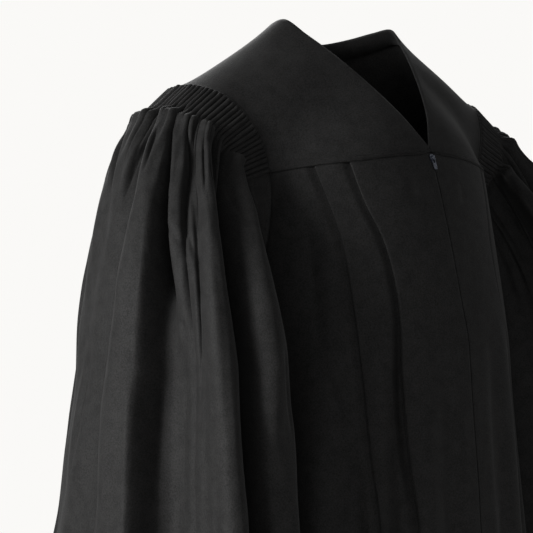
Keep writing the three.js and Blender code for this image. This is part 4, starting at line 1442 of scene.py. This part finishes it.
@dataclass
class Sleeve:
    """A bell sleeve, gathered into small flutes along the yoke."""

    side: Side
    seed: int = 7
    flutes: int = 52
    flute_columns: tuple[float, ...] = (0.0, 0.07, 0.19, 0.35, 0.5, 0.65, 0.81, 0.93)
    under_columns: int = 26
    band_rows: int = 13
    free_rows: int = 52
    lower_rows: int = 34
    rib: float = 5.0
    sunk: float = 2.2
    crease_scale: float = 1.9
    crease_depth: float = 1.7
    lead: float = 4.0
    ring_z: float = -360.0
    cuff_z: float = -660.0
    cuff_hem: float = 25.0
    cuff_fold: float = 14.0
    tuck_rows: tuple[tuple[float, float], ...] = ((5.0, 3.0), (0.8, 1.2))
    ridge_start: tuple[float, float] = (0.98, 1.11)
    hollow_start: tuple[float, float] = (0.93, 1.2)
    overturn: float = 0.4
    overturn_most: float = 3.0
    uneven_height: float = 1.5
    crumple_range: tuple[float, float] = (0.2, 0.75)
    crumple_place: tuple[float, float] = (1.3, 0.3)
    puff: float = 3.8
    puff_place: tuple[float, float] = (1.09, 0.055)
    pit: float = 1.6
    pit_place: tuple[float, float] = (1.03, 0.05)
    rib_powers: tuple[float, float] = (2.3, 0.62)
    thickness: float = 1.0

    def __post_init__(self) -> None:
        """Reads the sleeve's tables."""
        self.rings = SmoothTable(
            "z x y across along",
            [(-360, -250, -23, 78, 132), (-440, -255, -24, 83, 140), (-520, -259, -26, 88, 149)]
            + [(-660, -290, -35, 98, 160)],
        )
        self.gathers = SmoothTable(
            "turn length x y z swing hang",
            [
                (180, 13, -1, 0, -0.15, 9, 0.3),
                (165, 15, -1, 0, -0.2, 11, 0.3),
                (150, 27, -0.94, 0.1, -0.3, 18, 0.3),
                (120, 32, -0.92, -0.02, -0.38, 26, 0.3),
                (90, 35, -0.87, -0.08, -0.48, 32, 0.35),
                (45, 33, -0.82, -0.02, -0.57, 36, 0.45),
                (0, 31, -0.74, 0.12, -0.66, 42, 0.6),
                (-50, 32, -0.7, 0.25, -0.69, 42, 0.6),
                (-90, 33, -0.78, 0.28, -0.58, 36, 0.5),
                (-150, 27, -0.95, 0.05, -0.3, 20, 0.35),
                (-165, 15, -1, 0, -0.2, 11, 0.3),
                (-180, 13, -1, 0, -0.15, 9, 0.3),
                (-195, 15, -1, 0, -0.2, 11, 0.3),
                (-210, 27, -0.94, 0.1, -0.3, 18, 0.3),
            ],
        )
        draw = np.random.default_rng(self.seed)
        steps = 1 + draw.uniform(-0.16, 0.16, self.flutes)
        self.grooves = CORNER_TURN - 2 * CORNER_TURN * np.concatenate([[0.0], np.cumsum(steps)]) / steps.sum()
        long_ones = draw.uniform(0, 1, self.flutes) < 0.3
        ends = draw.uniform(0.35, 0.8, self.flutes), draw.uniform(0.05, 0.2, self.flutes)
        self.ends = np.where(long_ones, *ends)
        self.full = draw.uniform(0.8, 1.12, self.flutes)

    def columns(self) -> np.ndarray:
        """Turns of the columns, closest together in the grooves."""
        turns = []
        for start, end in zip(self.grooves[:-1], self.grooves[1:]):
            turns.extend(start + (end - start) * share for share in self.flute_columns)
        turns.extend(np.linspace(-CORNER_TURN, UNDER_TURN, self.under_columns, endpoint=False))
        return np.array(turns)

    def travels(self) -> np.ndarray:
        """Travels of the rows: 0 at the seam, 1 where the gathers end, 2 at the first ring, 3 at the cuff."""
        band = np.linspace(0, 1, self.band_rows, endpoint=False) ** 1.2
        free = 1 + np.linspace(0, 1, self.free_rows, endpoint=False)
        lower = 2 + np.linspace(0, 1, self.lower_rows)
        return np.concatenate([band, free, lower])

    def base(self, seam: ArmholeSeam, turn: np.ndarray, travel: np.ndarray) -> np.ndarray:
        """The sleeve without its folds.

        Args:
            seam: the armhole.
            turn: degrees around, rows by columns.
            travel: of the same shape.

        Returns:
            Points.
        """
        around = wrapped(turn)
        place, _, leaving = seam.at(around)
        start = place + leaving * SEAM_GAP / 4

        def read(name: str) -> np.ndarray:
            """Reads a column of the gathers' table."""
            return self.gathers.read(around, name)[..., None]

        along = unit(np.concatenate([read("x"), read("y"), read("z")], axis=-1))
        lead = start + leaving * self.lead
        end = lead + along * read("length")
        t = np.clip(travel, 0, 1)[..., None]
        band = (1 - t) ** 2 * start + 2 * t * (1 - t) * lead + t**2 * end
        ring = self.ring(self.ring_z + 0 * around, around)
        outward = end + along * read("swing")
        above = ring.copy()
        above[..., 2] += (end[..., 2] - ring[..., 2]) * read("hang")[..., 0]
        t = np.clip(travel - 1, 0, 1)[..., None]
        s = 1 - t
        free = s**3 * end + 3 * t * s**2 * outward + 3 * t**2 * s * above + t**3 * ring
        lower = self.ring(mix(self.ring_z, self.cuff_z, np.clip(travel - 2, 0, 1)), around)
        chosen = travel[..., None]
        return np.where(chosen <= 1, band, np.where(chosen < 2, free, lower))

    def ring(self, z: np.ndarray, turn: np.ndarray) -> np.ndarray:
        """The level oval of the sleeve at a height."""
        x, y, across, along = (self.rings.read(z, name) for name in ("x", "y", "across", "along"))
        angle = np.radians(turn)
        return np.stack([x - across * np.cos(angle), y - along * np.sin(angle), z], axis=-1)

    def base_facing(self, seam: ArmholeSeam, turn: np.ndarray, travel: np.ndarray) -> np.ndarray:
        """Direction in which the sleeve without its folds faces."""
        around = self.base(seam, turn + 1.5, travel) - self.base(seam, turn - 1.5, travel)
        low, high = np.clip(travel - 0.02, 0, 3), np.clip(travel + 0.02, 0, 3)
        down = self.base(seam, turn, high) - self.base(seam, turn, low)
        facing = unit(np.cross(down, around))
        _, seam_facing, _ = seam.at(turn)
        share = smooth(travel, 0, 0.3)[..., None]
        return unit(mix(seam_facing, facing, share))

    def flute_height(self, turn: np.ndarray, travel: np.ndarray) -> np.ndarray:
        """Height of the flutes: round ribs with narrow grooves, released one by one below the band."""
        inside = np.abs(turn) <= CORNER_TURN
        i = np.clip(np.searchsorted(-self.grooves, -turn, side="right") - 1, 0, self.flutes - 1)
        share = np.clip((turn - self.grooves[i]) / (self.grooves[i + 1] - self.grooves[i]), 0, 1)
        square, full = self.rib_powers
        round_rib = (1 - np.abs(2 * share - 1) ** square) ** full
        start = smooth(travel, -0.02, 0.16)
        release = 1 - smooth((travel - 0.97) / self.ends[i], 0.0, 1.0)
        pit = self.pit * bell(travel, *self.pit_place)
        height = (self.rib * self.full[i] * round_rib - self.sunk - pit * (1 - round_rib)) * start * release
        return np.where(inside, height, 0.0)

    def build(self, seam: ArmholeSeam, wardrobe: Wardrobe) -> bpy.types.Object:
        """Makes the sleeve.

        Args:
            seam: the right armhole; the left sleeve mirrors the right one's shape.
            wardrobe: the finishes.

        Returns:
            The sleeve.
        """
        turn, travel = np.meshgrid(self.columns(), self.travels())
        folds = FoldMap(SLEEVE_FOLDS)
        plain = self.base(seam, turn, travel)
        height = folds.height(turn, plain[..., 2])
        grown = np.where(height > 0, smooth(travel, *self.ridge_start), smooth(travel, *self.hollow_start))
        slope = (folds.height(turn + 1, plain[..., 2]) - folds.height(turn - 1, plain[..., 2])) / 2
        ahead, behind = (self.base(seam, turn + step, travel) for step in (1, -1))
        around = np.linalg.norm(ahead - behind, axis=-1) / 2
        shift = -self.overturn * slope * grown / np.maximum(around, 0.5) ** 2
        shift = np.clip(shift, -self.overturn_most, self.overturn_most)
        place = self.base(seam, turn + shift, travel)
        facing = self.base_facing(seam, turn + shift, travel)
        uneven = Drape(self.seed, 16, (4, 17), (110, 420)).height(turn, plain[..., 2]) * self.uneven_height
        crumple = Drape(self.seed + 1, 22, (14, 46), (35, 140)).height(turn, plain[..., 2])
        crumple = crumple * mix(*self.crumple_range, bell(travel, *self.crumple_place))
        creases = sum(crease.height(turn, plain[..., 2], self.crease_scale) for crease in SLEEVE_CREASES)
        creases = creases * self.crease_depth
        puff = self.puff * bell(travel, *self.puff_place) * smooth(height, -4, 4)
        total = (height + uneven + crumple + creases + puff) * grown + self.flute_height(turn, travel)
        places = place + facing * total[..., None]
        _, wall, leaving = seam.at(turn[0])
        tucked = [places[0] - leaving * far - wall * deep for far, deep in self.tuck_rows]
        places = np.concatenate([np.stack(tucked), places])
        places = turned_hem(places, grid_facing(places, True)[-2], self.cuff_hem, self.cuff_fold)
        if self.side is Side.LEFT:
            places = mirrored(places)
        name = f"sleeve_{self.side.value}"
        row = Stitching.hem_row(places, self.cuff_hem)
        line = places[row]
        facing = grid_facing(places, True)[row]
        stitches = Stitching().build(f"{name}_stitches", line, facing, line.mean(axis=0), wardrobe.cloth)
        piece = ClothGrid(places, True, self.thickness).solid(f"{name}_cloth", wardrobe.cloth)
        hang_cloth(piece, name)
        return piece


FRONT_CUT = PanelCut(
    face=Face.FRONT,
    creases=(
        Crease((45, -362), (40, -414), 1.8, 3.0),
        Crease((55, -338), (44, -346), 1.2, 4.0),
        Crease((43, -430), (40, -640), 1.4, 5.0),
        Crease((13, -172), (10, -200), 0.9, 5.0),
        Crease((53, -190), (50, -420), 1.4, 8.0),
        Crease((8, -330), (9, -520), 1.2, 7.0),
        Crease((24, -300), (26, -560), 1.2, 8.0),
        Crease((62, -420), (60, -700), 1.6, 9.0),
        Crease((70, -640), (66, -900), 2.0, 10.0),
        Crease((32, -800), (36, -1020), 2.0, 10.0),
    ),
    pleats=(
        pleat_table(
            [(-150, 38, 17, 0, 1.3), (-193, 33, 17, 0.1, 1.3), (-235, 26.6, 17, 0.4, 1.5)]
            + [(-290, 23.5, 17, 2, 1.9), (-370, 23.4, 16, 5, 2.6), (-440, 21.8, 15, 6, 2.6)]
            + [(-516, 19.5, 13, 5, 2.6), (-900, 19, 7, 1, 2.4), (-1350, 19, 3, 0, 2)]
        ),
        pleat_table(
            [(-150, 51, 17, 0, 1.3), (-193, 45.5, 17, 0.1, 1.3), (-235, 41, 17, 0.3, 1.3)]
            + [(-290, 38, 17, 0.5, 1.5), (-370, 35, 16, 1, 1.8), (-440, 33, 15, 1.2, 2)]
            + [(-516, 30.7, 13, 1.5, 2.2), (-900, 30.5, 7, 1, 2.2), (-1350, 31, 3, 0, 2)]
        ),
    ),
    centre_columns=36,
    between_columns=14,
    side_columns=40,
    rows=140,
)
BACK_CUT = PanelCut(
    face=Face.BACK,
    pleats=tuple(
        pleat_table(
            [(-150, top, 17, 0, 1.3), (-322, chest, 16, high, 1.8), (-516, waist, 13, high, 2.4)]
            + [(-1350, hem, 3, 0, 2)]
        )
        for top, chest, waist, hem, high in ((14, 13, 13, 14, 3), (30, 28, 28, 32, 1.5), (47, 45, 46, 51, 2))
    ),
    centre_columns=14,
    between_columns=10,
    side_columns=30,
    rows=116,
)


def hem_stitches(name: str, places: np.ndarray, cut: PanelCut, wardrobe: Wardrobe) -> bpy.types.Object:
    """Sews the row of stitches that holds a body panel's hem.

    Args:
        name: the panel's name.
        places: the panel's grid, with its turned-up hem.
        cut: the panel's cut.
        wardrobe: the finishes.

    Returns:
        The stitches.
    """
    row = Stitching.hem_row(places, cut.hem)
    line = places[row, 2:-2]
    facing = grid_facing(places, False)[row, 2:-2]
    inside = np.array([0.0, 20.0, line[:, 2].mean()])
    return Stitching().build(f"{name}_stitches", line, facing, inside, wardrobe.cloth)


@dataclass
class Fronts:
    """The two fronts, which meet along the zip."""

    thickness: float = 1.0

    def build(self, form: BodyForm, wardrobe: Wardrobe) -> list[bpy.types.Object]:
        """Makes both fronts.

        Args:
            form: the body.
            wardrobe: the finishes.

        Returns:
            The right and the left front.
        """
        pieces = []
        for side, seed in ((Side.RIGHT, 11), (Side.LEFT, 12)):
            places = Panel(FRONT_CUT, form, seed).places()
            if side is Side.LEFT:
                places = mirrored(places)
            name = f"front_{side.value}"
            stitches = hem_stitches(name, places, FRONT_CUT, wardrobe)
            piece = ClothGrid(places, thickness=self.thickness).solid(f"{name}_cloth", wardrobe.cloth)
            hang_cloth(piece, name)
            pieces.append(piece)
        return pieces


@dataclass(frozen=True)
class Placket:
    """The strip sewn behind the fronts' edges below the zip."""

    span_z: tuple[float, float] = (-1088.0, -1330.0)
    half_width: float = 13.0
    flat_width: float = 4.0
    deep: float = 3.1
    edge_deep: float = 1.15
    rows: int = 32
    columns: int = 17
    thickness: float = 0.8

    def build(self, form: BodyForm, wardrobe: Wardrobe) -> bpy.types.Object:
        """Makes the strip.

        Args:
            form: the body.
            wardrobe: the finishes.

        Returns:
            The strip.
        """
        z = np.linspace(*self.span_z, self.rows)[:, None] + np.zeros((1, self.columns))
        across = np.linspace(0, self.half_width, self.columns)[None] + 0 * z
        turns = form.degrees(Face.FRONT, z, 0 * z, across)
        depths = mix(self.deep, self.edge_deep, smooth(across, self.flat_width, self.half_width))
        half = form.point(Face.FRONT, z, turns) - form.facing(Face.FRONT, z, turns) * depths[..., None]
        half[:, 0, 0] = 0.0
        piece = ClothGrid(joined(half, half), thickness=self.thickness).solid("placket_cloth", wardrobe.cloth)
        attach(piece, "gown")
        return piece


@dataclass
class Back:
    """The pleated back."""

    thickness: float = 1.0

    def build(self, form: BodyForm, wardrobe: Wardrobe) -> bpy.types.Object:
        """Makes the back.

        Args:
            form: the body.
            wardrobe: the finishes.

        Returns:
            The back.
        """
        right, left = (Panel(BACK_CUT, form, seed).places() for seed in (21, 22))
        right[:, 0, 0] = 0.0
        places = joined(right, left)
        stitches = hem_stitches("back", places, BACK_CUT, wardrobe)
        piece = ClothGrid(places, thickness=self.thickness).solid("back_cloth", wardrobe.cloth)
        hang_cloth(piece, "back")
        return piece


@dataclass(frozen=True)
class Lamp:
    """One soft rectangular light, placed around the gown by its direction from the target."""

    name: str
    azimuth: float
    elevation: float
    distance: float
    size: tuple[float, float]
    power: float


@dataclass
class Studio:
    """Camera, lights, pale world and floor."""

    azimuth: float = -42.0
    target: tuple[float, float, float] = (-0.0558, 0.0702, -0.2583)
    distance: float = 2.4
    lens: float = 154.4
    sensor: float = 36.0
    floor_z: float = -1.37
    backdrop: tuple[float, float, float] = (0.956, 0.947, 0.93)
    ambient: float = 0.14
    lamps: tuple[Lamp, ...] = (
        Lamp("key_light", -98.0, 12.0, 2.2, (0.7, 1.4), 40.0),
        Lamp("front_fill", -40.0, 4.0, 3.0, (1.2, 1.2), 5.0),
        Lamp("back_light", 150.0, 30.0, 3.0, (2.4, 2.0), 60.0),
        Lamp("side_light", 70.0, 20.0, 3.0, (1.6, 2.0), 0.8),
    )

    @staticmethod
    def towards(azimuth: float, elevation: float) -> np.ndarray:
        """Direction from the target to a place at that azimuth and elevation."""
        a, e = math.radians(azimuth), math.radians(elevation)
        return np.array([math.sin(a) * math.cos(e), -math.cos(a) * math.cos(e), math.sin(e)])

    def build(self, wardrobe: Wardrobe) -> None:
        """Sets the scene.

        Args:
            wardrobe: the finishes.
        """
        scene = bpy.context.scene
        camera = bpy.data.objects.new("camera", bpy.data.cameras.new("camera"))
        camera.data.lens = self.lens
        camera.data.sensor_width = self.sensor
        camera.data.clip_end = 60.0
        camera.location = np.array(self.target) + self.distance * self.towards(self.azimuth, 0.0)
        camera.rotation_euler = (math.pi / 2, 0.0, math.radians(self.azimuth))
        scene.collection.objects.link(camera)
        scene.camera = camera
        for lamp in self.lamps:
            light = bpy.data.lights.new(lamp.name, "AREA")
            light.shape = "RECTANGLE"
            light.size, light.size_y = lamp.size
            light.energy = lamp.power
            holder = bpy.data.objects.new(lamp.name, light)
            aside = lamp.distance * self.towards(lamp.azimuth, lamp.elevation)
            holder.location = np.array(self.target) + aside
            tilt, turn = math.pi / 2 - math.radians(lamp.elevation), math.radians(lamp.azimuth)
            holder.rotation_euler = (tilt, 0.0, turn)
            holder.visible_camera = False
            scene.collection.objects.link(holder)
        scene.view_settings.view_transform = "Standard"
        self._world(scene)
        self._floor(wardrobe)

    def _world(self, scene: bpy.types.Scene) -> None:
        """Makes a pale backdrop that lights the cloth only a little."""
        world = bpy.data.worlds.new("studio")
        world.use_nodes = True
        tree = world.node_tree
        shown, felt = tree.nodes["Background"], tree.nodes.new("ShaderNodeBackground")
        shown.inputs["Color"].default_value = (*self.backdrop, 1.0)
        felt.inputs["Color"].default_value = (1.0, 1.0, 1.0, 1.0)
        felt.inputs["Strength"].default_value = self.ambient
        path = tree.nodes.new("ShaderNodeLightPath")
        choice = tree.nodes.new("ShaderNodeMixShader")
        tree.links.new(path.outputs["Is Camera Ray"], choice.inputs["Fac"])
        tree.links.new(felt.outputs[0], choice.inputs[1])
        tree.links.new(shown.outputs[0], choice.inputs[2])
        tree.links.new(choice.outputs[0], tree.nodes["World Output"].inputs["Surface"])
        scene.world = world

    def _floor(self, wardrobe: Wardrobe) -> None:
        """Lays a round floor below the hem."""
        sides, radii = 96, (1.0, 2.4, 4.0)
        angles = np.linspace(0, 2 * np.pi, sides + 1)[:-1]
        circle = np.stack([np.cos(angles), np.sin(angles), 0 * angles], axis=-1)
        spots = np.concatenate([np.zeros((1, 3)), *(radius * circle for radius in radii)])
        spots[:, 2] += self.floor_z
        after = np.roll(np.arange(sides), -1)
        faces = [[0, 1 + i, 1 + after[i]] for i in range(sides)]
        for inner in range(1, 1 + sides * (len(radii) - 1), sides):
            outer = inner + sides
            faces += [[inner + i, outer + i, outer + after[i], inner + after[i]] for i in range(sides)]
        mesh = bpy.data.meshes.new("floor")
        mesh.from_pydata(spots.tolist(), [], [[int(i) for i in face] for face in faces])
        mesh.materials.append(wardrobe.floor)
        floor = bpy.data.objects.new("floor", mesh)
        bpy.context.scene.collection.objects.link(floor)


def dress_kept_nodes(wardrobe: Wardrobe) -> None:
    """Gives the solids that stay shown their finish."""
    for name, finish in (
        ("zip_chain", wardrobe.tape),
        ("zip_slider", wardrobe.nickel),
        ("zip_pull", wardrobe.nickel),
    ):
        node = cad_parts[name]
        node.data.materials.clear()
        node.data.materials.append(finish)


def main() -> None:
    """Builds the gown's looks in order."""
    logging.basicConfig(level=logging.INFO, format="%(name)s: %(message)s")
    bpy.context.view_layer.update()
    wardrobe = Wardrobe()
    form = body_form()
    seam = ArmholeSeam(form)
    pieces = [Yoke().build(form, seam, wardrobe)]
    pieces += Fronts().build(form, wardrobe)
    pieces.append(Placket().build(form, wardrobe))
    pieces.append(Back().build(form, wardrobe))
    pieces += [Sleeve(side).build(seam, wardrobe) for side in Side]
    dress_kept_nodes(wardrobe)
    for piece in pieces:
        LOG.info("%s has %d faces", piece.name, len(piece.data.polygons))
    Studio().build(wardrobe)


if __name__ == "__main__":
    main()
